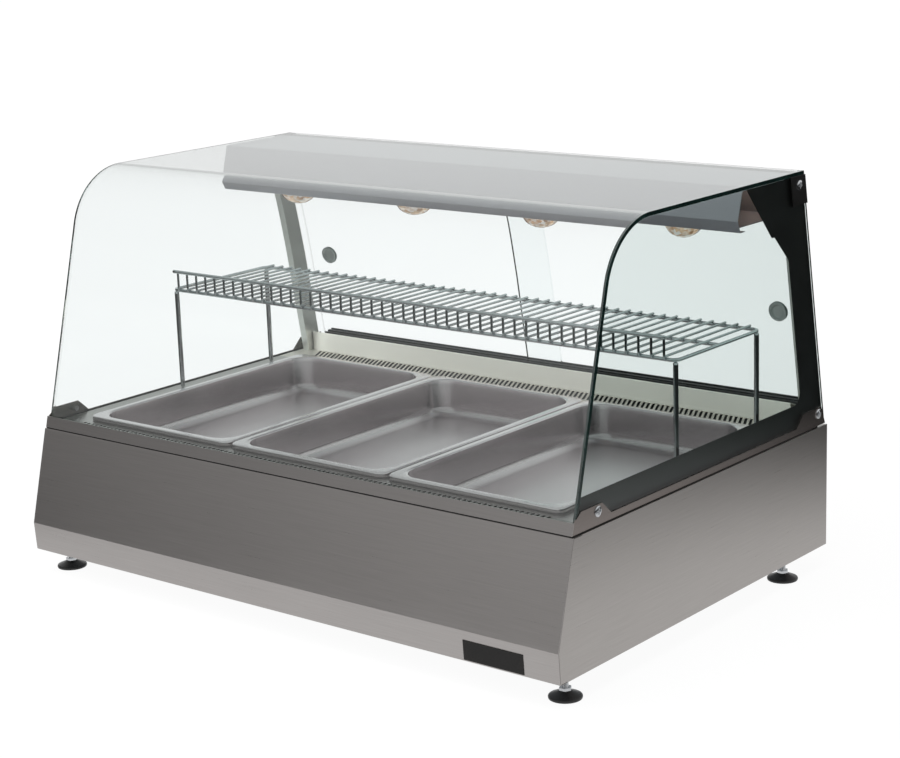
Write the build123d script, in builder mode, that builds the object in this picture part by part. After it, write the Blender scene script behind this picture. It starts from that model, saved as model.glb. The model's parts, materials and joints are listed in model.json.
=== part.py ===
from build123d import *
import math
import os

os.makedirs("parts", exist_ok=True)

# Millimetres. Floor at Z = 0, front towards -Y, right end towards +X, middle of the footprint at X = Y = 0.

# Base cabinet
height = 670
foot_height = 40
base_height = 205
chin_height = 48
chin_setback = 3
front_setback = 41
sheet = 1.5
panel_gap = 0.3
bottom_flange = 18
top_flange = 22
side_flange = 30
rear_recess = 25
ledge_overhang = 22
ledge_drop = 12

# Deck, pans and the heated well below them
seal_height = 2
seal_inset = 0.5
seal_width = 24
deck_rise = 10
lip_rise = 20
lip_inset = 2.5
pan_count = 3
pan_width = 325
pan_length = 530
pan_depth = 65
pan_gap = 5
pan_rim = 11.5
pan_rim_height = 8
pan_wall = 1
pan_corner = 42
pan_rim_corner = 16
pan_floor_radius = 18
pan_draft = 5
pan_lift_gap = 0.3
pan_overlap = 10
pan_margin = 51.6
end_margin = 57.5
slot_width = 4.5
slot_pitch = 9.5
front_slot = 14
rear_slot = 39
rear_slot_slant = 26
vent_margin = 18
bearer_depth = 20
bearer_tongue = 8
well_drop = 105
well_side = 18
well_rear = 58
well_flange = 12
lagging = 20
lagging_gap = 0.2

# Heating
element_diameter = 8.5
element_lift = 15
element_passes = 4
element_pitch = 110
element_bend = 50
element_centre = 250
element_end_gap = 32
element_stub = 15
clip_width = 12
clip_length = 24
entry_clearance = 0.25

# Glass superstructure
glass = 6
glass_inset = 4.5
glass_setback = 6
glass_bond = 0.4
bend_radius = 117
rear_setback = 1
rear_lean = math.radians(9.6)
strip_height = 10
tab_rise = 20
tab_slope = 22
front_tab_run = 18
front_tab = 50
rear_tab = 57
rear_tab_run = 8
strip_leg = 32
strip_gap = 0.5
tab_screw_drop = 10
front_screw_back = 11
rear_screw_back = 10
screw_diameter = 5
screw_head = 16
screw_head_height = 2.5
screw_clearance = 0.5
nut_width = 9
nut_height = 4
clip_plate = 43
clip_height = 46
clip_wrap = 12
clip_screw_inset = 19
clip_screw_drop = 21
trim_sheet = 1.2
trim_band = 40
trim_post = 62
trim_corner = 18
trim_edge_gap = 1
gusset_drop = 129
gusset_reach = 126
notch_drop = 86
notch_run = 8
post_rear = 28
post_front = 45
post_width = 14
left_post_rear = 40
left_post_front = 74
left_post_gap = 6

# Lamp canopy
canopy_sheet = 1.2
canopy_gap = 1
canopy_depth = 177
canopy_face = 46
canopy_rake = 13
canopy_lip = 18
canopy_lip_back = 7
canopy_return = 14
canopy_end_gap = 0.3
tray_end_gap = 2
lamp_count = 4
lamp_inset = 145
lamp_setback = 45
lamp_diameter = 63
lamp_length = 58
lamp_bowl = 28
lamp_neck = 30
lamp_cap = 26
lamp_cap_height = 24
lamp_hole_gap = 4
holder_diameter = 42
holder_height = 30
holder_gap = 0.5

# Rear sill and sliding doors
sill_margin = 61
sill_depth = 66.4
sill_height = 36
sill_rear_inset = 4
ledge_fall = 17
door_glass = 5
track_gap = 0.6
track_rib = 2.4
track_middle = 5
track_floor = 3
track_depth = 9
track_proud = 4.5
track_start = 3
track_end_gap = 6.5
top_track_depth = 15
door_top_play = 7
door_lift = 0.3
door_end_gap = 1
door_overlap = 66
pull_inset = 46
pull_height = 162
pull_diameter = 28
pull_flange = 2.5
pull_flange_height = 1.2
pull_web = 1
pull_gap = 0.3

# Wire shelf
shelf_end_gap = 22.5
shelf_depth = 236
shelf_height = 178
shelf_front = 294.5
rail_diameter = 6
rail_bend = 12
rod_diameter = 4
rod_pitch = 22.5
leg_diameter = 8
leg_lift = 0.3
fence_height = 34
fence_end = 20

# Controls on the rear panel
control_height = 55
thermostat_place = 295
pilot_place = 235
heat_switch_place = 185
lamp_switch_place = 145
gland_inset = 70
thermostat_size = 38
thermostat_depth = 28
shaft_diameter = 6
shaft_fit = 0.05
bushing_diameter = 10
bushing_reach = 2
knob_diameter = 46
knob_height = 16
knob_draft = 5
knob_edge = 2
knob_gap = 1.5
switch_width = 22
switch_height = 30
switch_flange = 1.5
switch_flange_height = 2
switch_depth = 25
switch_wall = 2
rocker_gap = 0.4
rocker_pivot = 4
rocker_reach = 8.5
rocker_back = 4
rocker_pin = 3
rocker_tilt = 9
pilot_diameter = 10
pilot_lens = 13
gland_thread = 20
gland_hex = 24
gland_bore = 11
bulb_diameter = 6
bulb_length = 90
bulb_height = 40
capillary_diameter = 1.6
capillary_bend = 9
terminal_length = 70
terminal_width = 24
terminal_height = 22
vent_slot = 50
vent_slot_width = 5
vent_pitch = 12
vent_count = 12

# Feet and badge
pad_diameter = 50
pad_height = 12
stud_diameter = 10
stud_length = 64
stud_hex = 17
stud_fit = 0.05
foot_side = 28
foot_front = 53
foot_rear = 93
badge_width = 108
badge_height = 31
badge_sheet = 0.8
badge_inset = 116
badge_rise = 3

# Levels and faces worked out from the sizes above. The cabinet is as wide and deep as its pans and margins.
pan_pitch = pan_width + pan_gap
pans_width = pan_count * pan_pitch - pan_gap
width = pans_width + 2 * end_margin
depth = front_setback + pan_margin + pan_length + sill_margin + sill_depth
front_y = -depth / 2
rear_y = depth / 2
side_x = width / 2
gland_place = gland_inset - side_x
badge_place = side_x - badge_inset
fold_z = foot_height + chin_height
base_top = foot_height + base_height
floor_top = foot_height + 2 * sheet
deck_top = base_top + deck_rise
deck_under = deck_top - sheet
lip_top = base_top + lip_rise
seal_top = base_top + seal_height
front_lean = math.atan2(front_setback, base_height - chin_height)
rear_foot_y = rear_y - rear_setback
glass_out = side_x - glass_inset
glass_in = glass_out - glass
deck_side = glass_in - strip_gap
strip_out = glass_out + sheet
panel_in = side_x - sheet - panel_gap
rear_panel_y = rear_y - rear_recess
roof_under = height - glass
canopy_top = roof_under - canopy_gap
canopy_ceiling = canopy_top - canopy_sheet


def front_face_y(z, inward=0):
    """Y of the leaning front face at height z, moved square to itself towards the rear."""
    return front_y + (z - fold_z) * math.tan(front_lean) + inward / math.cos(front_lean)


def rear_face_y(z, inward=0):
    """Y of the leaning rear face at height z, moved square to itself towards the front."""
    return rear_foot_y - (z - base_top) * math.tan(rear_lean) - inward / math.cos(rear_lean)


def rear_point(inward, up):
    """Y and Z of a point given by its distances inward from the leaning rear face and up along it."""
    y = rear_foot_y - inward * math.cos(rear_lean) - up * math.sin(rear_lean)
    z = base_top - inward * math.sin(rear_lean) + up * math.cos(rear_lean)
    return y, z


def side_plane(x):
    """Plane square to X at x, with sketch axes along +Y and +Z."""
    return Plane(origin=(x, 0, 0), x_dir=(0, 1, 0), z_dir=(1, 0, 0))


def rear_facing(x, y, z):
    """Plane square to Y through a point, sketch axes along +X and -Z, facing the rear."""
    return Plane(origin=(x, y, z), x_dir=(1, 0, 0), z_dir=(0, 1, 0))


def rear_plane(inward):
    """Plane along the leaning rear face, sketch axes along +X and up the lean, facing the front."""
    face = Plane(
        origin=(0, rear_foot_y, base_top),
        x_dir=(1, 0, 0),
        z_dir=(0, -math.cos(rear_lean), -math.sin(rear_lean)),
    )
    return face.offset(inward)


# Section across the leaning rear face, sketch axes inward from it and up the lean
rear_section = Plane(
    origin=(0, rear_foot_y, base_top),
    x_dir=(0, -math.cos(rear_lean), -math.sin(rear_lean)),
    z_dir=(-1, 0, 0),
)


def folded_section(points, thickness, side=Side.RIGHT):
    """Face of a bent sheet whose outer line runs through the points."""
    with BuildLine() as bent:
        Polyline(*points)
        offset(amount=thickness, side=side, kind=Kind.INTERSECTION)
    make_face(bent.edges())


def outline(points):
    """Face inside a closed run of straight lines."""
    with BuildLine() as run:
        Polyline(*points, close=True)
    make_face(run.edges())


def save(piece, name):
    piece.part.label = name
    export_step(piece.part, "parts/" + name + ".step")


def save_mirrored(piece, name):
    """Save the left-hand twin of a right-hand piece."""
    with BuildPart() as twin:
        mirror(piece.part, about=Plane.YZ)
    save(twin, name)


def save_pair(piece, name):
    """Save a right-hand piece and its left-hand twin as one node of two solids."""
    with BuildPart() as pair:
        add(piece.part)
        mirror(piece.part, about=Plane.YZ)
    save(pair, name)


# Base cabinet
chin_foot_y = front_y + chin_setback
front_top_y = front_face_y(base_top)
with BuildPart() as front_panel:
    with BuildSketch(Plane.YZ):
        folded_section(
            [
                (chin_foot_y + bottom_flange, foot_height),
                (chin_foot_y, foot_height),
                (front_y, fold_z),
                (front_top_y, base_top),
                (front_top_y + top_flange, base_top),
            ],
            sheet,
        )
    extrude(amount=panel_in, both=True)
    with BuildSketch(Plane.YZ):
        folded_section([(chin_foot_y, foot_height), (front_y, fold_z), (front_top_y, base_top)], sheet)
    extrude(amount=side_x, both=True)
save(front_panel, "front_panel")

front_inset = sheet / math.cos(front_lean) + panel_gap
side_front = front_top_y + top_flange + panel_gap
with BuildPart() as side_panel:
    with BuildSketch(side_plane(side_x)):
        outline(
            [
                (chin_foot_y + front_inset, foot_height),
                (front_y + front_inset, fold_z),
                (front_top_y + front_inset, base_top),
                (rear_y, base_top),
                (rear_y, foot_height),
            ]
        )
    extrude(amount=-sheet)
    side_rear = rear_panel_y - bottom_flange - panel_gap
    bottom_front = chin_foot_y + bottom_flange + panel_gap
    with BuildSketch(side_plane(side_x)):
        with Locations(((side_front + side_rear) / 2, base_top - sheet / 2)):
            Rectangle(side_rear - side_front, sheet)
    extrude(amount=-side_flange)
    with BuildSketch(side_plane(side_x)):
        with Locations(((bottom_front + side_rear) / 2, foot_height + sheet / 2)):
            Rectangle(side_rear - bottom_front, sheet)
    extrude(amount=-bottom_flange)
save(side_panel, "side_panel_right")
save_mirrored(side_panel, "side_panel_left")

foot_places = [
    ("front_left", foot_side - side_x, front_y + foot_front),
    ("front_right", side_x - foot_side, front_y + foot_front),
    ("rear_left", foot_side - side_x, rear_y - foot_rear),
    ("rear_right", side_x - foot_side, rear_y - foot_rear),
]
plate_front = chin_foot_y + sheet + chin_setback + panel_gap
plate_rear = rear_panel_y - sheet - panel_gap
with BuildPart() as base_plate:
    with BuildSketch(Plane.XY.offset(foot_height + sheet)):
        with Locations((0, (plate_front + plate_rear) / 2)):
            Rectangle(2 * panel_in, plate_rear - plate_front)
        with Locations(*[(x, y) for _, x, y in foot_places]):
            Circle(stud_diameter / 2 + panel_gap, mode=Mode.SUBTRACT)
    extrude(amount=sheet)
save(base_plate, "base_plate")

control_z = foot_height + control_height
vent_x = (gland_place + lamp_switch_place) / 2
with BuildPart() as rear_panel:
    with BuildSketch(Plane.YZ):
        folded_section(
            [
                (rear_panel_y - bottom_flange, foot_height),
                (rear_panel_y, foot_height),
                (rear_panel_y, base_top - sheet),
                (rear_panel_y + ledge_overhang, base_top - sheet),
                (rear_panel_y + ledge_overhang, base_top - ledge_drop),
            ],
            sheet,
            Side.LEFT,
        )
    extrude(amount=panel_in, both=True)
    with BuildSketch(Plane.XZ.offset(-rear_panel_y)):
        with Locations((thermostat_place, control_z)):
            Circle(bushing_diameter / 2 + panel_gap)
        with Locations((pilot_place, control_z)):
            Circle(pilot_diameter / 2 + panel_gap)
        with Locations((gland_place, control_z)):
            Circle(gland_thread / 2 + panel_gap)
        with Locations((heat_switch_place, control_z), (lamp_switch_place, control_z)):
            Rectangle(switch_width, switch_height)
        with Locations((vent_x, control_z)):
            with GridLocations(vent_pitch, 1, vent_count, 1):
                SlotOverall(vent_slot, vent_slot_width, rotation=90)
    extrude(amount=sheet, mode=Mode.SUBTRACT)
save(rear_panel, "rear_panel")

chin_lean = math.atan2(chin_setback, chin_height)
badge_plane = Plane(
    origin=(badge_place, chin_foot_y, foot_height),
    x_dir=(1, 0, 0),
    z_dir=(0, -math.cos(chin_lean), -math.sin(chin_lean)),
)
with BuildPart() as badge:
    with BuildSketch(badge_plane):
        with Locations((0, badge_rise + badge_height / 2)):
            Rectangle(badge_width, badge_height)
    extrude(amount=badge_sheet)
save(badge, "badge_plate")

# Adjustable feet with their weld nuts
with BuildPart() as foot_nuts:
    with BuildSketch(Plane.XY.offset(floor_top)):
        with Locations(*[(x, y) for _, x, y in foot_places]):
            RegularPolygon(stud_hex / 2, 6, major_radius=False)
            Circle(stud_diameter / 2 + stud_fit, mode=Mode.SUBTRACT)
    extrude(amount=stud_diameter)
save(foot_nuts, "foot_nuts")

for place, x, y in foot_places:
    with BuildPart() as foot_pad:
        with BuildSketch(Plane(origin=(x, y, 0), x_dir=(1, 0, 0), z_dir=(0, -1, 0))):
            with BuildLine():
                Polyline(
                    (0, 0),
                    (pad_diameter / 2, 0),
                    (pad_diameter / 2, pad_height / 3),
                    (stud_hex / 2, pad_height),
                    (0, pad_height),
                    close=True,
                )
            make_face()
        revolve(axis=Axis((x, y, 0), (0, 0, 1)))
        with Locations((x, y, pad_height)):
            Hole(stud_diameter / 2, pad_height / 2)
    save(foot_pad, "foot_pad_" + place)
    with BuildPart() as foot_stud:
        with BuildSketch(Plane(origin=(x, y, pad_height / 2))):
            Circle(stud_diameter / 2)
        extrude(amount=stud_length)
        with BuildSketch(Plane(origin=(x, y, pad_height))):
            RegularPolygon(stud_hex / 2, 6, major_radius=False)
        extrude(amount=stud_diameter / 2)
    save(foot_stud, "foot_stud_" + place)

# Deck: seal, front ledge with lip, side ledges, rear vent strip and bearers between the pans
pan_front_y = front_top_y + pan_margin
pan_rear_y = pan_front_y + pan_length
opening_x = pans_width / 2 - pan_overlap
opening_front = pan_front_y + pan_overlap
opening_rear = pan_rear_y - pan_overlap
sill_y = pan_rear_y + sill_margin
vent_rear = rear_face_y(deck_top, post_rear)
slot_count = int(pans_width / slot_pitch)
rear_slot_run = (rear_slot - slot_width) / math.cos(math.radians(rear_slot_slant)) + slot_width
glass_foot_y = front_face_y(deck_top, glass_setback + glass)

seal_front = front_face_y(seal_top, seal_inset)
seal_side = strip_out - seal_inset
with BuildPart() as deck_seal:
    with BuildSketch(Plane.XY.offset(base_top)):
        with Locations((0, seal_front + top_flange / 3)):
            Rectangle(2 * seal_side, 2 * top_flange / 3)
        for hand in (-1, 1):
            with Locations((hand * (seal_side - seal_width / 2), (seal_front + rear_panel_y) / 2)):
                Rectangle(seal_width, rear_panel_y - seal_front)
    extrude(amount=seal_height)
save(deck_seal, "deck_seal")

with BuildPart() as front_ledge:
    with BuildSketch(Plane.YZ):
        outline(
            [
                (front_face_y(seal_top), seal_top),
                (front_face_y(lip_top), lip_top),
                (front_face_y(lip_top, sheet), lip_top),
                (front_face_y(seal_top, sheet), seal_top),
            ]
        )
    extrude(amount=side_x - lip_inset, both=True)
    with BuildSketch(Plane.YZ):
        outline(
            [
                (front_face_y(deck_under, sheet / 2), deck_under),
                (front_face_y(deck_top, sheet / 2), deck_top),
                (opening_front, deck_top),
                (opening_front, deck_under),
            ]
        )
    extrude(amount=deck_side, both=True)
    with BuildSketch(Plane.XY.offset(deck_top)):
        with Locations((0, (glass_foot_y + pan_front_y) / 2)):
            with GridLocations(slot_pitch, 1, slot_count, 1):
                SlotOverall(front_slot, slot_width, rotation=90)
    extrude(amount=-sheet, mode=Mode.SUBTRACT)
save(front_ledge, "front_ledge")

with BuildPart() as rear_vent_strip:
    with BuildSketch(Plane.XY.offset(deck_under)):
        with Locations((0, (opening_rear + vent_rear) / 2)):
            Rectangle(2 * deck_side, vent_rear - opening_rear)
        with Locations((0, pan_rear_y + vent_margin + rear_slot / 2)):
            with GridLocations(slot_pitch, 1, slot_count, 1):
                SlotOverall(rear_slot_run, slot_width, rotation=90 + rear_slot_slant, mode=Mode.SUBTRACT)
    extrude(amount=sheet)
save(rear_vent_strip, "rear_vent_strip")

leg_top = seal_top + sheet
opening_mid = (opening_front + opening_rear) / 2
opening_length = opening_rear - opening_front
with BuildPart() as side_ledge:
    with BuildSketch(Plane.XY.offset(deck_under)):
        with Locations(((opening_x + deck_side) / 2, opening_mid)):
            Rectangle(deck_side - opening_x, opening_length)
    extrude(amount=sheet)
    with BuildSketch(Plane.XY.offset(leg_top)):
        with Locations((deck_side - sheet / 2, opening_mid)):
            Rectangle(sheet, opening_length)
    extrude(amount=deck_under - leg_top)
save_pair(side_ledge, "side_ledges")

bearer_places = [(i + 1 - pan_count / 2) * pan_pitch for i in range(pan_count - 1)]
with BuildPart() as pan_bearers:
    for x in bearer_places:
        with BuildSketch(Plane.XY.offset(deck_under)):
            with Locations((x, opening_mid)):
                Rectangle(pan_gap + 2 * pan_overlap, opening_length)
        extrude(amount=sheet)
        with BuildSketch(Plane.XY.offset(deck_under)):
            with Locations((x, opening_mid)):
                Rectangle(sheet, opening_length + 2 * bearer_tongue)
        extrude(amount=-bearer_depth)
save(pan_bearers, "pan_bearers")

# Heated well below the pans, its lagging and its two tubular elements
well_x = opening_x + well_side
well_front_y = front_top_y + top_flange + panel_gap
well_rear_y = pan_rear_y + well_rear
well_mid = (well_front_y + well_rear_y) / 2
well_length = well_rear_y - well_front_y
well_floor = deck_under - well_drop
element_z = well_floor + sheet + element_lift
element_half = element_pitch * (element_passes - 1) / 2
element_ends = [hand * element_centre + end for hand in (-1, 1) for end in (-element_half, element_half)]
with BuildPart() as heat_well:
    with BuildSketch(Plane.XY.offset(well_floor)):
        with Locations((0, well_mid)):
            Rectangle(2 * well_x, well_length)
    extrude(amount=well_drop)
    with BuildSketch(Plane.XY.offset(deck_under - sheet)):
        with Locations((0, well_mid)):
            Rectangle(2 * (well_x + well_flange), well_length + 2 * well_flange)
    extrude(amount=sheet)
    with BuildSketch(Plane.XY.offset(well_floor + sheet)):
        with Locations((0, well_mid)):
            Rectangle(2 * (well_x - sheet), well_length - 2 * sheet)
    extrude(amount=well_drop, mode=Mode.SUBTRACT)
    with BuildSketch(Plane.XZ.offset(-well_rear_y)):
        with Locations(*[(x, element_z) for x in element_ends]):
            Circle(element_diameter / 2 + entry_clearance)
    extrude(amount=sheet, mode=Mode.SUBTRACT)
save(heat_well, "heat_well")

lagging_top = base_top - sheet - lagging_gap
lagging_base = well_floor - lagging
bay_x = (thermostat_place + pilot_place) / 2
rear_lag_mid = (bay_x - well_x) / 2
with BuildPart() as well_lagging:
    with BuildSketch(Plane.XY.offset(lagging_base)):
        with Locations((0, well_mid)):
            Rectangle(2 * well_x, well_length)
    extrude(amount=lagging)
    wall = lagging - lagging_gap
    with BuildSketch(Plane.XY.offset(lagging_base)):
        for hand in (-1, 1):
            with Locations((hand * (well_x + lagging_gap + wall / 2), well_mid)):
                Rectangle(wall, well_length)
        with Locations((0, well_front_y - lagging_gap - wall / 2)):
            Rectangle(2 * well_x, wall)
        with Locations((rear_lag_mid, well_rear_y + lagging_gap + wall / 2)):
            Rectangle(bay_x + well_x, wall)
    extrude(amount=lagging_top - lagging_base)
    with BuildSketch(Plane.XZ.offset(-well_rear_y - lagging)):
        with Locations(*[(x, element_z) for x in element_ends]):
            Circle(element_diameter)
    extrude(amount=lagging, mode=Mode.SUBTRACT)
save(well_lagging, "well_lagging")

element_near = well_front_y + sheet + element_end_gap
element_far = well_rear_y - sheet - element_end_gap
element_out = well_rear_y + lagging + element_stub
with BuildPart() as heating_elements:
    for hand in (-1, 1):
        first = hand * element_centre - element_half
        points = [(first, element_out, element_z)]
        for i in range(element_passes):
            x = first + i * element_pitch
            turn_y = element_near if i % 2 == 0 else element_far
            last = i == element_passes - 1
            points += [(x, element_out, element_z)] if last else [
                (x, turn_y, element_z),
                (x + element_pitch, turn_y, element_z),
            ]
        with BuildLine() as element_path:
            FilletPolyline(*points, radius=element_bend)
        with BuildSketch(Plane(origin=points[0], x_dir=(1, 0, 0), z_dir=(0, -1, 0))):
            Circle(element_diameter / 2)
        sweep(path=element_path.wires()[0])
save(heating_elements, "heating_elements")


# Superstructure: curved front and roof glass, end glass with its strips, screws, clips and trim
def glass_curve(inset, foot_z):
    """Line up the leaning front, round the bend and back along the roof, inset from the outer face."""
    bend_z = height - bend_radius
    tangent_z = bend_z + bend_radius * math.sin(front_lean)
    bend_y = front_face_y(tangent_z, glass_setback) + bend_radius * math.cos(front_lean)
    radius = bend_radius - inset
    foot = (front_face_y(foot_z, glass_setback + inset), foot_z)
    shoulder = (bend_y - radius * math.cos(front_lean), bend_z + radius * math.sin(front_lean))
    crown = (bend_y, bend_z + radius)
    back = (rear_face_y(crown[1]), crown[1])
    Line(foot, shoulder)
    TangentArc(shoulder, crown, tangent=(math.sin(front_lean), math.cos(front_lean)))
    Line(crown, back)
    return foot, back


with BuildPart() as front_glass:
    with BuildSketch(Plane.YZ):
        with BuildLine():
            outer_foot, outer_back = glass_curve(0, deck_top)
            inner_foot, inner_back = glass_curve(glass, deck_top)
            Line(outer_foot, inner_foot)
            Line(outer_back, inner_back)
        make_face()
    extrude(amount=glass_out, both=True)
save(front_glass, "front_glass")

strip_top = seal_top + strip_height
tab_top = strip_top + tab_rise
strip_front = front_face_y(lip_top, sheet + strip_gap)
front_tab_start = strip_front + front_tab_run
front_tab_end = front_tab_start + front_tab
rear_tab_end = rear_face_y(tab_top) - rear_tab_run
rear_tab_start = rear_tab_end - rear_tab
tab_screw_z = tab_top - tab_screw_drop
clip_screw_z = height - clip_screw_drop
screw_places = [
    (front_tab_end - front_screw_back, tab_screw_z),
    (rear_tab_end - rear_screw_back, tab_screw_z),
    (rear_face_y(clip_screw_z, clip_screw_inset), clip_screw_z),
]
tab_screws = screw_places[:2]
clip_screw = screw_places[2]

with BuildPart() as end_glass:
    with BuildSketch(side_plane(glass_in)):
        with BuildLine():
            end_foot, end_back = glass_curve(glass + glass_bond, leg_top)
            Polyline(end_back, (rear_face_y(leg_top), leg_top), end_foot)
        make_face()
        with Locations(*screw_places):
            Circle(screw_diameter / 2 + 2 * screw_clearance, mode=Mode.SUBTRACT)
    extrude(amount=glass)
save(end_glass, "end_glass_right")
save_mirrored(end_glass, "end_glass_left")

with BuildPart() as end_strip:
    with BuildSketch(side_plane(glass_out)):
        outline(
            [
                (front_face_y(seal_top, sheet + strip_gap), seal_top),
                (strip_front, lip_top),
                (front_tab_start, tab_top),
                (front_tab_end, tab_top),
                (front_tab_end + tab_slope, strip_top),
                (rear_tab_start - tab_slope, strip_top),
                (rear_tab_start, tab_top),
                (rear_tab_end, tab_top),
                (rear_face_y(seal_top), seal_top),
            ]
        )
        with Locations(*tab_screws):
            Circle(screw_diameter / 2 + screw_clearance, mode=Mode.SUBTRACT)
    extrude(amount=sheet)
    leg_front = front_face_y(seal_top, sheet + strip_gap)
    with BuildSketch(Plane.XY.offset(seal_top)):
        with Locations((strip_out - strip_leg / 2, (leg_front + rear_panel_y) / 2)):
            Rectangle(strip_leg, rear_panel_y - leg_front)
    extrude(amount=sheet)
save_pair(end_strip, "end_strips")

clip_foot = roof_under - clip_height
with BuildPart() as top_clip:
    with BuildSketch(side_plane(glass_out)):
        outline(
            [
                (rear_face_y(clip_foot, clip_plate), clip_foot),
                (rear_face_y(roof_under, clip_plate), roof_under),
                (rear_face_y(roof_under, -sheet), roof_under),
                (rear_face_y(clip_foot, -sheet), clip_foot),
            ]
        )
        with Locations(clip_screw):
            Circle(screw_diameter / 2 + screw_clearance, mode=Mode.SUBTRACT)
    extrude(amount=sheet)
    with BuildSketch(side_plane(glass_out)):
        outline(
            [
                (rear_face_y(clip_foot), clip_foot),
                (rear_face_y(roof_under), roof_under),
                (rear_face_y(roof_under, -sheet), roof_under),
                (rear_face_y(clip_foot, -sheet), clip_foot),
            ]
        )
    extrude(amount=-clip_wrap)
save_pair(top_clip, "top_clips")

trim_top = deck_top + trim_band
trim_inset = glass_setback + glass + glass_bond + trim_edge_gap
gusset_z = canopy_top - gusset_drop
gusset_y = rear_face_y(gusset_z, trim_post)
notch_z = canopy_top - notch_drop
notch_y = gusset_y - (notch_z - gusset_z)
with BuildPart() as end_trim:
    with BuildSketch(side_plane(glass_in)):
        outline(
            [
                (front_face_y(deck_top, trim_inset), deck_top),
                (front_face_y(trim_top, trim_inset), trim_top),
                (rear_face_y(trim_top, trim_post), trim_top),
                (gusset_y, gusset_z),
                (notch_y, notch_z),
                (notch_y - notch_run, notch_z),
                (gusset_y - gusset_reach, canopy_top),
                (rear_face_y(canopy_top, trim_edge_gap), canopy_top),
                (rear_face_y(deck_top, trim_edge_gap), deck_top),
            ]
        )
        inner_corner = Vector(rear_face_y(trim_top, trim_post), trim_top)
        fillet(vertices().sort_by_distance(inner_corner)[:1], radius=trim_corner)
        with Locations(*screw_places):
            Circle(screw_diameter / 2 + screw_clearance, mode=Mode.SUBTRACT)
    extrude(amount=-trim_sheet)
save(end_trim, "end_trim_right")

with BuildPart() as glass_screws:
    for hand in (-1, 1):
        nut_seat = glass_in - (trim_sheet if hand > 0 else 0)
        for y, z in screw_places:
            with BuildSketch(side_plane(hand * strip_out)):
                with Locations((y, z)):
                    Circle(screw_head / 2)
            extrude(amount=hand * screw_head_height)
            with BuildSketch(side_plane(hand * strip_out)):
                with Locations((y, z)):
                    Circle(screw_diameter / 2)
            extrude(amount=-hand * (strip_out - nut_seat + nut_height))
save(glass_screws, "glass_screws")

with BuildPart() as glass_nuts:
    for hand in (-1, 1):
        nut_seat = glass_in - (trim_sheet if hand > 0 else 0)
        with BuildSketch(side_plane(hand * nut_seat)):
            with Locations(*screw_places):
                RegularPolygon(nut_width / 2, 6, major_radius=False)
                Circle(screw_diameter / 2, mode=Mode.SUBTRACT)
        extrude(amount=-hand * nut_height)
save(glass_nuts, "glass_nuts")


def post_strip(near, far):
    """Leaning strip of the rear post between two distances from the rear face."""
    outline(
        [
            (rear_face_y(deck_top, near), deck_top),
            (rear_face_y(canopy_ceiling, near), canopy_ceiling),
            (rear_face_y(canopy_ceiling, far), canopy_ceiling),
            (rear_face_y(deck_top, far), deck_top),
        ]
    )


post_out = glass_in - trim_sheet
post_in = post_out - post_width
left_post_in = post_in - left_post_gap
with BuildPart() as rear_posts:
    for inner, outward, near, far in (
        (post_in, 1, post_rear, post_front),
        (-left_post_in, -1, left_post_rear, left_post_front),
    ):
        with BuildSketch(side_plane(inner)):
            post_strip(near, far)
        extrude(amount=outward * sheet)
        with BuildSketch(side_plane(inner)):
            post_strip(near, near + sheet)
            post_strip(far - sheet, far)
        extrude(amount=outward * post_width)
save(rear_posts, "rear_posts")

# Lamp canopy: folded cover, lamp tray, holders and heat lamps
track_end = track_start + 2 * track_rib + track_middle + 2 * (door_glass + 2 * track_gap)
canopy_front_y = rear_face_y(canopy_top) - canopy_depth
face_foot_z = canopy_top - canopy_face
canopy_base = face_foot_z - canopy_lip
lip_y = canopy_front_y - canopy_rake + canopy_lip_back
canopy_end = post_out - canopy_end_gap
tray_end = left_post_in - tray_end_gap
with BuildPart() as canopy_cover:
    with BuildSketch(Plane.YZ):
        folded_section(
            [
                (lip_y + canopy_return, canopy_base),
                (lip_y, canopy_base),
                (canopy_front_y - canopy_rake, face_foot_z),
                (canopy_front_y, canopy_top),
                (rear_face_y(canopy_top, track_end), canopy_top),
                (rear_face_y(canopy_base, track_end), canopy_base),
            ],
            canopy_sheet,
        )
    extrude(amount=canopy_end, both=True)
    with BuildSketch(Plane.YZ):
        return_y = rear_face_y(canopy_base, track_end)
        with Locations((return_y - canopy_return / 2, canopy_base + canopy_sheet / 2)):
            Rectangle(canopy_return, canopy_sheet)
    extrude(amount=tray_end, both=True)
save(canopy_cover, "canopy_cover")

lamp_y = canopy_front_y + lamp_setback
lamp_pitch = (width - 2 * lamp_inset) / (lamp_count - 1)
lamp_places = [lamp_inset - side_x + i * lamp_pitch for i in range(lamp_count)]
tray_base = canopy_base + canopy_sheet
tray_front = lip_y + 2 * canopy_sheet
tray_rear = rear_face_y(tray_base + canopy_sheet, track_end + 2 * canopy_sheet)
with BuildPart() as lamp_tray:
    with BuildSketch(Plane.XY.offset(tray_base)):
        with Locations((0, (tray_front + tray_rear) / 2)):
            Rectangle(2 * tray_end, tray_rear - tray_front)
        with Locations(*[(x, lamp_y) for x in lamp_places]):
            Circle(lamp_diameter / 2 + lamp_hole_gap, mode=Mode.SUBTRACT)
    extrude(amount=canopy_sheet)
save(lamp_tray, "lamp_tray")

holder_base = canopy_ceiling - holder_height
with BuildPart() as lampholders:
    with BuildSketch(Plane.XY.offset(holder_base)):
        with Locations(*[(x, lamp_y) for x in lamp_places]):
            Circle(holder_diameter / 2)
    extrude(amount=holder_height)
    with BuildSketch(Plane.XY.offset(holder_base)):
        with Locations(*[(x, lamp_y) for x in lamp_places]):
            Circle(lamp_cap / 2 + holder_gap)
    extrude(amount=lamp_cap_height, mode=Mode.SUBTRACT)
save(lampholders, "lampholders")

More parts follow.
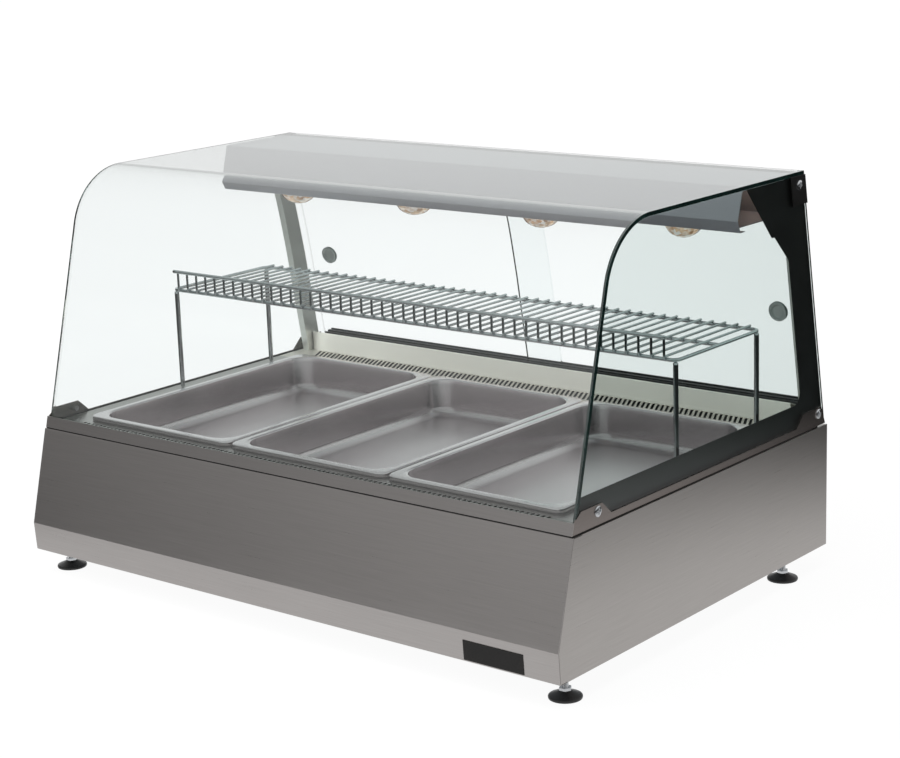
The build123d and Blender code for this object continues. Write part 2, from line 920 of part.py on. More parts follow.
crown_z = holder_base - lamp_length
quarter_turn = 90
lamp_radius = lamp_diameter / 2
wide_z = crown_z + lamp_bowl
cap_top = holder_base + lamp_cap_height
with BuildPart() as heat_lamps:
    for x in lamp_places:
        with BuildSketch(Plane(origin=(x, lamp_y, 0), x_dir=(1, 0, 0), z_dir=(0, -1, 0))):
            with BuildLine():
                Line((0, crown_z), (0, cap_top))
                Polyline(
                    (0, cap_top),
                    (lamp_cap / 2, cap_top),
                    (lamp_cap / 2, holder_base),
                    (lamp_neck / 2, holder_base - holder_gap),
                    (lamp_neck / 2, holder_base - lamp_cap / 2),
                    (lamp_radius, wide_z),
                )
                EllipticalCenterArc(
                    (0, wide_z), lamp_radius, lamp_bowl, start_angle=-quarter_turn, arc_size=quarter_turn
                )
            make_face()
        revolve(axis=Axis((x, lamp_y, 0), (0, 0, 1)))
save(heat_lamps, "heat_lamps")

# Rear sill, door tracks, sliding glass doors and their finger pulls
sill_front_top = deck_top + sill_height
sill_rear = rear_y - sill_rear_inset
wall_s = (rear_foot_y - sill_y) * math.sin(rear_lean) + (sill_front_top - base_top) * math.cos(rear_lean)
ledge_s = wall_s - ledge_fall
track_seat = track_floor + track_depth - track_proud
track_foot = ledge_s - track_seat
seat_fall = (ledge_fall + track_seat) / math.cos(rear_lean)
sill_rear_top = sill_front_top + (sill_rear - sill_y) * math.tan(rear_lean) - seat_fall
seat_front = track_end + panel_gap
with BuildPart() as rear_sill:
    with BuildSketch(Plane.YZ):
        folded_section(
            [
                (sill_y, deck_top),
                (sill_y, sill_front_top),
                rear_point(seat_front, ledge_s),
                rear_point(seat_front, track_foot),
                (sill_rear, sill_rear_top),
                (sill_rear, base_top),
            ],
            sheet,
        )
    extrude(amount=tray_end, both=True)
save(rear_sill, "rear_sill")

groove = door_glass + 2 * track_gap
grooves = [track_start + track_rib, track_start + track_rib + groove + track_middle]
track_half = glass_in - track_end_gap
with BuildPart() as bottom_track:
    with BuildSketch(rear_section):
        with Locations(((track_start + track_end) / 2, track_foot + (track_floor + track_depth) / 2)):
            Rectangle(track_end - track_start, track_floor + track_depth)
        for near in grooves:
            with Locations((near + groove / 2, track_foot + track_floor + track_depth / 2)):
                Rectangle(groove, track_depth, mode=Mode.SUBTRACT)
    extrude(amount=tray_end, both=True)
save(bottom_track, "door_track_bottom")

track_head = (canopy_top - base_top) / math.cos(rear_lean)
top_track_foot = track_head - track_floor - top_track_depth
with BuildPart() as top_track:
    with BuildSketch(rear_section):
        with Locations(((track_start + track_end) / 2, (top_track_foot + track_head) / 2)):
            Rectangle(track_end - track_start, track_head - top_track_foot)
        for near in grooves:
            with Locations((near + groove / 2, top_track_foot + top_track_depth / 2)):
                Rectangle(groove, top_track_depth, mode=Mode.SUBTRACT)
    extrude(amount=track_half, both=True)
save(top_track, "door_track_top")

door_half = track_half - door_end_gap
door_width = door_half + door_overlap / 2
door_foot = track_foot + track_floor + door_lift
door_head = track_head - track_floor - door_top_play
pull_s = door_foot + pull_height
for hand, name, near in ((-1, "left", grooves[0]), (1, "right", grooves[1])):
    door_near = near + track_gap
    middle_x = hand * (door_half - door_width / 2)
    pull_x = hand * (door_half - pull_inset)
    with BuildPart() as door:
        with BuildSketch(rear_plane(door_near)):
            with Locations((middle_x, (door_foot + door_head) / 2)):
                Rectangle(door_width, door_head - door_foot)
            with Locations((pull_x, pull_s)):
                Circle(pull_diameter / 2 + pull_gap, mode=Mode.SUBTRACT)
        extrude(amount=door_glass)
    save(door, "door_" + name)
    with BuildPart() as pull:
        with BuildSketch(rear_plane(door_near)):
            with Locations((pull_x, pull_s)):
                Circle(pull_diameter / 2)
        extrude(amount=door_glass)
        for start, away in ((door_near, -1), (door_near + door_glass, 1)):
            with BuildSketch(rear_plane(start)):
                with Locations((pull_x, pull_s)):
                    Circle(pull_diameter / 2 + pull_flange)
            extrude(amount=away * pull_flange_height)
            cup = (door_glass - pull_web) / 2 + pull_flange_height
            with BuildSketch(rear_plane(start + away * pull_flange_height)):
                with Locations((pull_x, pull_s)):
                    Circle(pull_diameter / 2 - pull_flange)
            extrude(amount=-away * cup, mode=Mode.SUBTRACT)
    save(pull, "finger_pull_" + name)

# Food pans
rim_foot = deck_top + pan_lift_gap
rim_top = rim_foot + pan_rim_height
for i, name in enumerate(("left", "middle", "right")):
    x = (i - (pan_count - 1) / 2) * pan_pitch
    place = Plane(origin=(x, (pan_front_y + pan_rear_y) / 2, rim_top))
    with BuildPart() as cavity:
        with BuildSketch(place):
            inside = pan_rim + pan_wall
            RectangleRounded(pan_width - 2 * inside, pan_length - 2 * inside, pan_corner - pan_wall)
        extrude(amount=pan_wall - pan_depth, taper=pan_draft)
        fillet(faces().sort_by(Axis.Z)[0].edges(), radius=pan_floor_radius - pan_wall)
    with BuildPart() as pan:
        with BuildSketch(place):
            RectangleRounded(pan_width - 2 * pan_rim, pan_length - 2 * pan_rim, pan_corner)
        extrude(amount=-pan_depth, taper=pan_draft)
        fillet(faces().sort_by(Axis.Z)[0].edges(), radius=pan_floor_radius)
        with BuildSketch(place):
            RectangleRounded(pan_width, pan_length, pan_rim_corner)
        extrude(amount=-pan_wall)
        with BuildSketch(place):
            RectangleRounded(pan_width, pan_length, pan_rim_corner)
            skirt = (pan_width - 2 * pan_wall, pan_length - 2 * pan_wall)
            RectangleRounded(*skirt, pan_rim_corner - pan_wall, mode=Mode.SUBTRACT)
        extrude(amount=-pan_rim_height)
        add(cavity.part, mode=Mode.SUBTRACT)
    save(pan, "pan_" + name)

# Wire shelf: frame on four legs, rods front to back and a low fence along the front
shelf_z = deck_top + leg_lift + shelf_height
shelf_y = front_face_y(deck_top) + shelf_front
shelf_far = shelf_y + shelf_depth
shelf_width = width - 2 * shelf_end_gap
rail_x = (shelf_width - rail_diameter) / 2
leg_inset = rail_bend * (1 - math.sqrt(1 / 2))
rod_z = shelf_z + (rail_diameter + rod_diameter) / 2 - panel_gap
rod_count = int((shelf_width - 2 * leg_diameter) / rod_pitch)
rod_places = [(i - (rod_count - 1) / 2) * rod_pitch for i in range(rod_count)]
ring_corners = [
    (-rail_x, shelf_y, shelf_z),
    (rail_x, shelf_y, shelf_z),
    (rail_x, shelf_far, shelf_z),
    (-rail_x, shelf_far, shelf_z),
]
with BuildPart() as shelf_rack:
    with BuildLine() as ring:
        FilletPolyline(*ring_corners, radius=rail_bend, close=True)
    ring_path = ring.wires()[0]
    with BuildSketch(Plane(origin=ring_path @ 0, z_dir=ring_path % 0)):
        Circle(rail_diameter / 2)
    sweep(path=ring_path)
    with BuildSketch(side_plane(0)):
        with Locations(((shelf_y + shelf_far) / 2, shelf_z)):
            Circle(rail_diameter / 2)
    extrude(amount=rail_x, both=True)
    with BuildSketch(rear_facing(0, shelf_y - rail_diameter / 2, rod_z)):
        with Locations(*[(x, 0) for x in rod_places]):
            Circle(rod_diameter / 2)
    extrude(amount=shelf_depth + rail_diameter)
save(shelf_rack, "shelf_rack")

fence_places = [x for x in rod_places if x < shelf_width / 2 - fence_end]
fence_y = shelf_y - rail_diameter / 2 - rod_diameter / 2
with BuildPart() as shelf_fence:
    with BuildSketch(Plane.XY.offset(shelf_z)):
        with Locations(*[(x, fence_y) for x in fence_places]):
            Circle(rod_diameter / 2)
    extrude(amount=fence_height)
    fence_left = fence_places[0] - rod_pitch / 2
    with BuildSketch(side_plane(fence_left)):
        with Locations((fence_y, shelf_z + fence_height)):
            Circle(rail_diameter / 2)
    extrude(amount=fence_places[-1] + rod_diameter / 2 - fence_left)
save(shelf_fence, "shelf_fence")

leg_x = rail_x - leg_inset
leg_places = [(x, y) for x in (-leg_x, leg_x) for y in (shelf_y + leg_inset, shelf_far - leg_inset)]
with BuildPart() as shelf_legs:
    with BuildSketch(Plane.XY.offset(deck_top + leg_lift)):
        with Locations(*leg_places):
            Circle(leg_diameter / 2)
    extrude(amount=shelf_height - rail_diameter / 2)
save(shelf_legs, "shelf_legs")

# Controls and wiring pieces on the rear panel
body_y = rear_panel_y - sheet


def rear_disc(x, z, y, diameter, length):
    """Round bar along Y, from y towards the rear."""
    with BuildSketch(rear_facing(x, y, z)) as disc:
        Circle(diameter / 2)
    extrude(disc.sketch, amount=length)


shaft_start = body_y - thermostat_depth / 2
knob_y = rear_panel_y + knob_gap
bushing_end = rear_panel_y + bushing_reach
shaft_end = knob_y + knob_height * 3 / 4
with BuildPart() as thermostat:
    with Locations((thermostat_place, body_y - thermostat_depth / 2, control_z)):
        Box(thermostat_size, thermostat_depth, thermostat_size)
    rear_disc(thermostat_place, control_z, body_y, bushing_diameter, bushing_end - body_y)
    with BuildSketch(rear_facing(thermostat_place, shaft_start, control_z)):
        Circle(shaft_diameter / 2 + shaft_fit)
    extrude(amount=bushing_end - shaft_start, mode=Mode.SUBTRACT)
save(thermostat, "thermostat_body")

with BuildPart() as thermostat_shaft:
    shaft_length = shaft_end - shaft_start - shaft_fit
    rear_disc(thermostat_place, control_z, shaft_start + shaft_fit, shaft_diameter, shaft_length)
save(thermostat_shaft, "thermostat_shaft")

knob_plane = rear_facing(thermostat_place, knob_y, control_z)
with BuildPart() as knob:
    with BuildSketch(knob_plane):
        Circle(knob_diameter / 2)
    extrude(amount=knob_height, taper=knob_draft)
    fillet(faces().sort_by(Axis.Y)[-1].edges(), radius=knob_edge)
    with BuildSketch(knob_plane):
        Circle(bushing_diameter / 2 + knob_gap)
    extrude(amount=bushing_end - knob_y + knob_gap, mode=Mode.SUBTRACT)
    with BuildSketch(knob_plane):
        Circle(shaft_diameter / 2)
    extrude(amount=shaft_end - knob_y, mode=Mode.SUBTRACT)
save(knob, "thermostat_knob")

bulb_y = well_rear_y + bulb_diameter / 2 + lagging_gap / 2
bulb_z = well_floor + bulb_height
bulb_x = thermostat_place + 2 * capillary_bend
thermostat_top = control_z + thermostat_size / 2
body_mid = body_y - thermostat_depth / 2
route = [
    (bulb_x + capillary_bend, bulb_y, bulb_z),
    (thermostat_place, bulb_y, bulb_z),
    (thermostat_place, bulb_y, bulb_z - 4 * capillary_bend),
    (thermostat_place, body_mid, thermostat_top + 2 * capillary_bend),
    (thermostat_place, body_mid, thermostat_top),
]
with BuildPart() as thermostat_bulb:
    with BuildSketch(side_plane(bulb_x)):
        with Locations((bulb_y, bulb_z)):
            Circle(bulb_diameter / 2)
    extrude(amount=bulb_length)
    with BuildLine() as capillary_path:
        FilletPolyline(*route, radius=capillary_bend)
    with BuildSketch(Plane(origin=route[0], x_dir=(0, 1, 0), z_dir=(-1, 0, 0))):
        Circle(capillary_diameter / 2)
    sweep(path=capillary_path.wires()[0])
save(thermostat_bulb, "thermostat_bulb")

with BuildPart() as well_clips:
    with BuildSketch(Plane.XY.offset(well_floor + sheet)):
        for hand in (-1, 1):
            with Locations((hand * element_centre, well_mid)):
                with GridLocations(element_pitch, well_length / 2, element_passes, 2):
                    Rectangle(clip_length, clip_width)
    extrude(amount=element_lift - element_diameter / 2 - lagging_gap / 2)
    for share in (1 / 4, 3 / 4):
        with BuildSketch(side_plane(bulb_x + share * bulb_length - clip_width / 2)):
            with Locations((well_rear_y + bulb_diameter * 2 / 3, bulb_z)):
                Rectangle(bulb_diameter * 4 / 3, bulb_diameter * 2)
            with Locations((bulb_y, bulb_z)):
                Circle(bulb_diameter / 2 + lagging_gap / 4, mode=Mode.SUBTRACT)
        extrude(amount=clip_width)
save(well_clips, "well_clips")

cavity_width = switch_width - 2 * switch_wall - 1
cavity_height = switch_height - 2 * switch_wall
pivot_y = rear_panel_y + switch_flange_height - rocker_pivot - rocker_back / 2
cavity_depth = switch_flange_height + rocker_pivot + 2 * rocker_back
flange_top = rear_panel_y + switch_flange_height
with BuildPart() as switch_housings:
    for x in (heat_switch_place, lamp_switch_place):
        with Locations((x, rear_panel_y - switch_depth / 2, control_z)):
            Box(switch_width - panel_gap, switch_depth, switch_height - panel_gap)
        with Locations((x, flange_top - switch_flange_height / 2, control_z)):
            Box(switch_width + 2 * switch_flange, switch_flange_height, switch_height + 2 * switch_flange)
        with Locations((x, flange_top - cavity_depth / 2, control_z)):
            Box(cavity_width, cavity_depth, cavity_height, mode=Mode.SUBTRACT)
        with BuildSketch(side_plane(x)):
            with Locations((pivot_y, control_z)):
                Circle(rocker_pin / 2 + shaft_fit)
        extrude(amount=cavity_width / 2 + switch_wall, both=True, mode=Mode.SUBTRACT)
save(switch_housings, "switch_housings")

tilt = math.radians(rocker_tilt)
rocker_half = cavity_height / 2 - rocker_back / 2
for name, x in (("heat", heat_switch_place), ("lamp", lamp_switch_place)):
    tilted = Plane(origin=(x, pivot_y, control_z), x_dir=(0, math.cos(tilt), math.sin(tilt)), z_dir=(1, 0, 0))
    with BuildPart() as rocker:
        with BuildSketch(tilted):
            outline(
                [
                    (-rocker_back, -rocker_half * 3 / 4),
                    (rocker_reach, -rocker_half),
                    (rocker_reach - rocker_pin / 2, 0),
                    (rocker_reach, rocker_half),
                    (-rocker_back, rocker_half * 3 / 4),
                ]
            )
        extrude(amount=cavity_width / 2 - rocker_gap, both=True)
        with BuildSketch(tilted):
            Circle(rocker_pin / 2)
        extrude(amount=cavity_width / 2 + switch_wall / 2, both=True)
    save(rocker, name + "_rocker")

with BuildPart() as pilot_lamp:
    rear_disc(pilot_place, control_z, rear_panel_y - switch_depth, pilot_diameter, switch_depth)
    rear_disc(pilot_place, control_z, rear_panel_y, pilot_lens, pilot_lens / 4)
    fillet(faces().sort_by(Axis.Y)[-1].edges(), radius=pilot_lens / 5)
save(pilot_lamp, "pilot_lamp")

gland_reach = rear_recess - switch_flange_height
with BuildPart() as cable_gland:
    rear_disc(gland_place, control_z, body_y - gland_bore, gland_thread, gland_bore + sheet)
    with BuildSketch(rear_facing(gland_place, rear_panel_y, control_z)):
        RegularPolygon(gland_hex / 2, 6, major_radius=False)
    extrude(amount=gland_reach / 3)
    rear_disc(gland_place, control_z, rear_panel_y, gland_thread, gland_reach)
    fillet(faces().sort_by(Axis.Y)[-1].edges(), radius=gland_thread / 8)
    with BuildSketch(Plane(origin=(gland_place, body_y, control_z), x_dir=(1, 0, 0), z_dir=(0, -1, 0))):
        RegularPolygon(gland_hex / 2, 6, major_radius=False)
    extrude(amount=gland_bore / 2)
    with BuildSketch(Plane(origin=(gland_place, rear_y, control_z), x_dir=(1, 0, 0), z_dir=(0, -1, 0))):
        Circle(gland_bore / 2)
    extrude(amount=rear_recess + sheet + gland_bore, mode=Mode.SUBTRACT)
save(cable_gland, "cable_gland")

terminal_y = rear_panel_y - 2 * terminal_length
with BuildPart() as terminal_block:
    with Locations((gland_place + terminal_length, terminal_y, floor_top + terminal_height / 2)):
        Box(terminal_length, terminal_width, terminal_height)
    with Locations((gland_place + terminal_length, terminal_y, floor_top + terminal_height)):
        with GridLocations(terminal_length / 6, terminal_width / 2, 5, 2):
            Hole(terminal_length / 24, terminal_height / 2)
save(terminal_block, "terminal_block")
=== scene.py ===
import json
import math

import bmesh
import bpy
import numpy as np
from mathutils import Matrix, Vector


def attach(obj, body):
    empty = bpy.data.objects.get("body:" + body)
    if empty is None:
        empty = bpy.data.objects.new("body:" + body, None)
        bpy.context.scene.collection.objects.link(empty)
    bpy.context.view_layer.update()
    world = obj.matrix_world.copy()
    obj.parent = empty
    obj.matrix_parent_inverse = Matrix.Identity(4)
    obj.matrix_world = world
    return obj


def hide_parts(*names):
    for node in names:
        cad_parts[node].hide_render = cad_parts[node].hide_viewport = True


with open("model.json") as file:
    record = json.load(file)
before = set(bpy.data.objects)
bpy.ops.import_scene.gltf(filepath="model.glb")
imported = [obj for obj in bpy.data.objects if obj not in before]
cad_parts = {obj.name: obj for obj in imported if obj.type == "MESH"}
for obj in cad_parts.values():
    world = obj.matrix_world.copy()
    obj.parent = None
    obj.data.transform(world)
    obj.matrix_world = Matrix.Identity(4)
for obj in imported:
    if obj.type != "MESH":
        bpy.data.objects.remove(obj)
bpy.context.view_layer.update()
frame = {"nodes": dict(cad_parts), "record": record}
nodes = frame["nodes"]
print("frame loaded:", len(nodes), "nodes")

# Sizes are written in millimetres, as in the CAD, and turned to metres when a mesh is made
cabinet = {
    "sideX": 550, "frontY": -375, "rearY": 375, "footHeight": 40, "foldZ": 88, "baseTop": 245, "deckTop": 255,
    "frontSetback": 41, "chinSetback": 3, "rearSetback": 1, "rearLean": 9.6, "sheet": 1.5, "height": 670,
}
frontLean = math.atan2(cabinet["frontSetback"], cabinet["baseTop"] - cabinet["foldZ"])
rearLean = math.radians(cabinet["rearLean"])


# Y of the leaning front at a height: the fold's Y plus the rise times the lean's tangent, moved in square to it
def frontFaceY(z, inward=0):
    return cabinet["frontY"] + (z - cabinet["foldZ"]) * math.tan(frontLean) + inward / math.cos(frontLean)


# Y of the leaning rear at a height: the foot's Y less the rise times the lean's tangent, moved in square to it
def rearFaceY(z, inward=0):
    foot = cabinet["rearY"] - cabinet["rearSetback"]
    return foot - (z - cabinet["baseTop"]) * math.tan(rearLean) - inward / math.cos(rearLean)


# Point by the leaning rear: n inward from it and s up along it, turned by the lean
def rearPoint(n, s):
    y = cabinet["rearY"] - cabinet["rearSetback"] - n * math.cos(rearLean) - s * math.sin(rearLean)
    return y, cabinet["baseTop"] - n * math.sin(rearLean) + s * math.cos(rearLean)


# sRGB hex code to linear RGBA: the standard sRGB curve, channel by channel
def hexToLinear(code):
    channels = np.array([int(code[i:i + 2], 16) for i in (1, 3, 5)]) / 255
    linear = np.where(channels <= 0.04045, channels / 12.92, ((channels + 0.055) / 1.055) ** 2.4)
    return (*linear.tolist(), 1.0)


# Adds one node, by its type's name after ShaderNode, sets its properties and sockets, and links inputs from
# (node, output) pairs
def addNode(tree, kind, settings=None, links=None):
    node = tree.nodes.new("ShaderNode" + kind)
    for key, value in (settings or {}).items():
        if isinstance(key, int) or key in node.inputs:
            node.inputs[key].default_value = value
        else:
            setattr(node, key, value)
    for key, (source, output) in (links or {}).items():
        tree.links.new(source.outputs[output], node.inputs[key])
    return node


# Material with an empty tree, its output and a Principled shader with the given socket values
def newFinish(name, shader):
    material = bpy.data.materials.new(name)
    material.use_nodes = True
    tree = material.node_tree
    tree.nodes.clear()
    surface = addNode(tree, "BsdfPrincipled", shader)
    addNode(tree, "OutputMaterial", None, {"Surface": (surface, "BSDF")})
    return material, tree, surface


# Ramp colours between stops of (position, hex code)
def setRamp(ramp, stops):
    elements = ramp.color_ramp.elements
    while len(elements) < len(stops):
        elements.new(0.5)
    for element, (position, code) in zip(elements, stops):
        element.position = position
        element.color = hexToLinear(code)


# Colour and roughness that follow one pattern: from their first value at its low end to their second at its high end
def followPattern(tree, surface, pattern, colours, rough, ends=(0.3, 0.7)):
    colour = addNode(tree, "ValToRGB", None, {"Fac": pattern})
    setRamp(colour, list(zip(ends, colours)))
    shine = addNode(tree, "MapRange", {"From Min": ends[0], "From Max": ends[1], "To Min": rough[0],
                                       "To Max": rough[1]}, {"Value": pattern})
    tree.links.new(colour.outputs["Color"], surface.inputs["Base Color"])
    tree.links.new(shine.outputs["Result"], surface.inputs["Roughness"])


# Brushed, rolled or drawn sheet: streaks run along one axis, with broad soft clouding in colour and roughness.
# streak is (length, width) in mm: real brush lines are about 0.1 mm, so they are drawn coarse enough to show.
def sheetFinish(name, colours, rough, along, streak, cloud=260, bump=0.02, metallic=1.0, patch=0.35):
    material, tree, surface = newFinish(name, {"Metallic": metallic})
    place = addNode(tree, "TexCoord")
    size = [1000 / streak[0] if axis == along else 1000 / streak[1] for axis in "XYZ"]
    stretch = addNode(tree, "Mapping", {"Scale": size}, {"Vector": (place, "Object")})
    lines = addNode(tree, "TexNoise", {"Scale": 1, "Detail": 3, "Roughness": 0.65},
                    {"Vector": (stretch, "Vector")})
    soft = addNode(tree, "TexNoise", {"Scale": 1000 / cloud, "Detail": 2}, {"Vector": (place, "Object")})
    blend = addNode(tree, "Mix", {"data_type": "FLOAT", "Factor": patch},
                    {"A": (lines, "Fac"), "B": (soft, "Fac")})
    followPattern(tree, surface, (blend, "Result"), colours, rough)
    if bump:
        relief = addNode(tree, "Bump", {"Strength": 0.25, "Distance": bump / 1000},
                         {"Height": (lines, "Fac")})
        tree.links.new(relief.outputs["Normal"], surface.inputs["Normal"])
    return material


# Moulded, painted or cast surface: fine speckled relief of the given grit (mm) and a soft change of colour
def solidFinish(name, colours, rough, grit, shader=None, bump=0.02, cloud=40):
    material, tree, surface = newFinish(name, shader or {})
    place = addNode(tree, "TexCoord")
    grain = addNode(tree, "TexNoise", {"Scale": 1000 / grit, "Detail": 2}, {"Vector": (place, "Object")})
    soft = addNode(tree, "TexNoise", {"Scale": 1000 / cloud, "Detail": 2}, {"Vector": (place, "Object")})
    followPattern(tree, surface, (soft, "Fac"), colours, rough)
    relief = addNode(tree, "Bump", {"Strength": 0.2, "Distance": bump / 1000}, {"Height": (grain, "Fac")})
    tree.links.new(relief.outputs["Normal"], surface.inputs["Normal"])
    return material


# Clear float glass: a faint waviness in the surface, lamps and mirrored light pass straight through it, and the body
# absorbs red, so that long paths through it, at the edges, turn dark blue-green
def glassFinish(name, surfaceHex, absorbHex, density, ior=1.52, wave=120):
    material, tree, surface = newFinish(
        name, {"Base Color": hexToLinear(surfaceHex), "Roughness": 0.0, "IOR": ior, "Transmission Weight": 1.0})
    place = addNode(tree, "TexCoord")
    ripple = addNode(tree, "TexNoise", {"Scale": 1000 / wave, "Detail": 0}, {"Vector": (place, "Object")})
    relief = addNode(tree, "Bump", {"Strength": 0.05, "Distance": 0.0002}, {"Height": (ripple, "Fac")})
    tree.links.new(relief.outputs["Normal"], surface.inputs["Normal"])
    rays = addNode(tree, "LightPath")
    clear = addNode(tree, "BsdfTransparent", {"Color": hexToLinear("#f4f8f7")})
    lit = addNode(tree, "Math", {"operation": "MAXIMUM"},
                  {0: (rays, "Is Shadow Ray"), 1: (rays, "Is Diffuse Ray")})
    # A ray that glass bends counts as glossy too, so a mirrored one is glossy and not transmitted
    mirrored = addNode(tree, "Math", {"operation": "SUBTRACT"},
                       {0: (rays, "Is Glossy Ray"), 1: (rays, "Is Transmission Ray")})
    plain = addNode(tree, "Math", {"operation": "MAXIMUM"}, {0: (lit, "Value"), 1: (mirrored, "Value")})
    through = addNode(tree, "MixShader", None,
                      {0: (plain, "Value"), 1: (surface, "BSDF"), 2: (clear, "BSDF")})
    body = addNode(tree, "VolumeAbsorption", {"Color": hexToLinear(absorbHex), "Density": density})
    output = next(node for node in tree.nodes if node.type == "OUTPUT_MATERIAL")
    tree.links.new(through.outputs["Shader"], output.inputs["Surface"])
    tree.links.new(body.outputs["Volume"], output.inputs["Volume"])
    return material


# A finish's tree, its Principled shader, and the nodes that feed the shader's colour and roughness
def openFinish(material):
    tree = material.node_tree
    surface = next(node for node in tree.nodes if node.type == "BSDF_PRINCIPLED")
    feeds = [surface.inputs[socket].links[0].from_node for socket in ("Base Color", "Roughness")]
    return tree, surface, *feeds


# Share of a rise in Object Z between two heights in mm: bottom below the first, top above the second
def riseShare(tree, low, high, bottom=0.0, top=1.0):
    place = addNode(tree, "TexCoord")
    axes = addNode(tree, "SeparateXYZ", None, {"Vector": (place, "Object")})
    return addNode(tree, "MapRange", {"From Min": low / 1000, "From Max": high / 1000, "To Min": bottom,
                                      "To Max": top}, {"Value": (axes, "Z")})


# Brushed 304 stainless, lines along the panel: a neutral grey sheen that stretches along the lines
brushedFront = sheetFinish("BrushedStainlessAlongX", ("#a9a5a3", "#b5b1af"), (0.27, 0.33), "X", (90, 1.3),
                           bump=0.006, patch=0.2)
brushedSide = sheetFinish("BrushedStainlessAlongY", ("#a4a09d", "#b0aca9"), (0.27, 0.33), "Y", (90, 1.3),
                          bump=0.006, patch=0.2)
# Polished stainless edging: darker and sharper than the panels, with faint lines
polishedEdging = sheetFinish("PolishedStainlessEdging", ("#8f8783", "#9a928e"), (0.2, 0.28), "Y", (160, 2.0),
                             bump=0.003, patch=0.3)
# Bead-blasted stainless canopy: pale and even, nearly without lines
satinCanopy = sheetFinish("BlastedStainlessCanopy", ("#a9a7ae", "#b0aeb5"), (0.3, 0.36), "X", (200, 3),
                          bump=0.002, metallic=0.9)
# Lacquered sill, nearly white, and rolled stainless posts with a soft sheen
rolledSill = sheetFinish("LacqueredPaleSteelSill", ("#e9e3db", "#f0eae2"), (0.35, 0.42), "X", (200, 3),
                         bump=0.001, metallic=0.0)
rolledPost = sheetFinish("RolledStainlessPost", ("#d6d6d1", "#dfdfda"), (0.3, 0.36), "Z", (200, 3),
                         bump=0.003, metallic=0.7)
# Galvanised steel inside: mottled zinc crystals, about 12 mm across
galvanised = sheetFinish("GalvanisedSteel", ("#9fa3a6", "#b9bdbf"), (0.35, 0.55), "X", (14, 12),
                         cloud=12, bump=0.01, patch=0.5)
# Zinc-plated fixings: bright and a little blue
zincPlated = sheetFinish("ZincPlatedSteel", ("#b9bcc0", "#d0d2d4"), (0.15, 0.28), "Z", (6, 1.5), cloud=20, bump=0.006)
# Chrome-plated wire: near mirror, dark where it faces the room. The pulls' plating is duller and paler.
chromedWire = sheetFinish("ChromePlatedWire", ("#c9cfd1", "#d6dbdc"), (0.08, 0.14), "X", (40, 3), cloud=60, bump=0.002)
chromedPull = sheetFinish("ChromePlatedPull", ("#b3b8b7", "#bfc4c3"), (0.3, 0.36), "X", (20, 2), cloud=30,
                          bump=0.004, metallic=0.6)

# Deep-drawn stainless pans: smooth, with only broad soft clouding from the press. The walls are painted greyer than
# the floor
# and rim, by height: painted shade for the dimmer room they mirror. The draw leaves the walls brighter polished than
# the floor, which keeps the sheet's own pale satin, and the rim keeps the full colour.
panTones = {
    "floorZ": 199.3, "rimZ": 263.3, "satin": 0.16, "satinZ": (201.22, 212.1),
    "paintedWallShade": [(0.0, "#ffffff"), (0.04, "#ffffff"), (0.2, "#d2d0d0"), (0.85, "#dad8d8"), (0.96, "#ffffff")],
}
drawnPan = sheetFinish("DrawnStainlessPan", ("#e1dadc", "#eae3e5"), (0.18, 0.22), "Y", (160, 40),
                       cloud=180, bump=0.0, patch=0.6)
tree, surface, colour, shine = openFinish(drawnPan)
height = riseShare(tree, panTones["floorZ"], panTones["rimZ"])
# Painted shade: the walls' colour is multiplied darker than the floor's and the rim's
paintedWallShade = addNode(tree, "ValToRGB", None, {"Fac": (height, "Result")})
setRamp(paintedWallShade, panTones["paintedWallShade"])
toned = addNode(tree, "Mix", {"data_type": "RGBA", "blend_type": "MULTIPLY", 0: 1.0},
                {6: (colour, "Color"), 7: (paintedWallShade, "Color")})
satin = riseShare(tree, *panTones["satinZ"], panTones["satin"], 0.0)
rough = addNode(tree, "Math", {"operation": "ADD"}, {0: (shine, "Result"), 1: (satin, "Result")})
tree.links.new(toned.outputs[2], surface.inputs["Base Color"])
tree.links.new(rough.outputs["Value"], surface.inputs["Roughness"])

# Deck strip behind the pans: finely ground, so it takes light from every side and stays pale. All below its top face
# is
# painted black: painted shade for the punched walls of its slots, which lie in shade.
deckTones = {"slotShade": "#070707", "slotShadeZ": (254.8, 254.95)}
groundDeck = sheetFinish("GroundStainlessDeck", ("#c3beb6", "#cec9c1"), (0.45, 0.55), "X", (60, 1.5),
                         bump=0.002, metallic=0.45)
tree, surface, colour, shine = openFinish(groundDeck)
# Painted shade: below the top face the colour turns near-black
topFace = riseShare(tree, *deckTones["slotShadeZ"])
toned = addNode(tree, "Mix", {"data_type": "RGBA", 6: hexToLinear(deckTones["slotShade"])},
                {0: (topFace, "Result"), 7: (colour, "Color")})
tree.links.new(toned.outputs[2], surface.inputs["Base Color"])

# Printed ink: flat and slightly rough
printedBlack = solidFinish("ScreenPrintedBlackInk", ("#101010", "#161616"), (0.5, 0.6), 1.0, {"IOR": 1.5}, bump=0.002)
printedWhite = solidFinish("ScreenPrintedWhiteInk", ("#dededb", "#e8e8e5"), (0.45, 0.55), 1.0, {"IOR": 1.5},
                           bump=0.002)
# Gloss black powder coat over steel sheet: deep black with a slight orange peel
blackPaint = solidFinish("BlackPowderCoat", ("#050505", "#0a0a0a"), (0.3, 0.4), 2.5, {"IOR": 1.5}, bump=0.002)
# Moulded black ABS: fine spark-eroded grain. Extruded nylon: a little greyer and duller.
blackAbs = solidFinish("MouldedBlackAbs", ("#0d0d0e", "#161617"), (0.3, 0.42), 0.8, {"IOR": 1.54}, bump=0.03)
blackTrack = solidFinish("ExtrudedBlackNylon", ("#141516", "#1d1e20"), (0.45, 0.55), 1.2, {"IOR": 1.53}, bump=0.02)
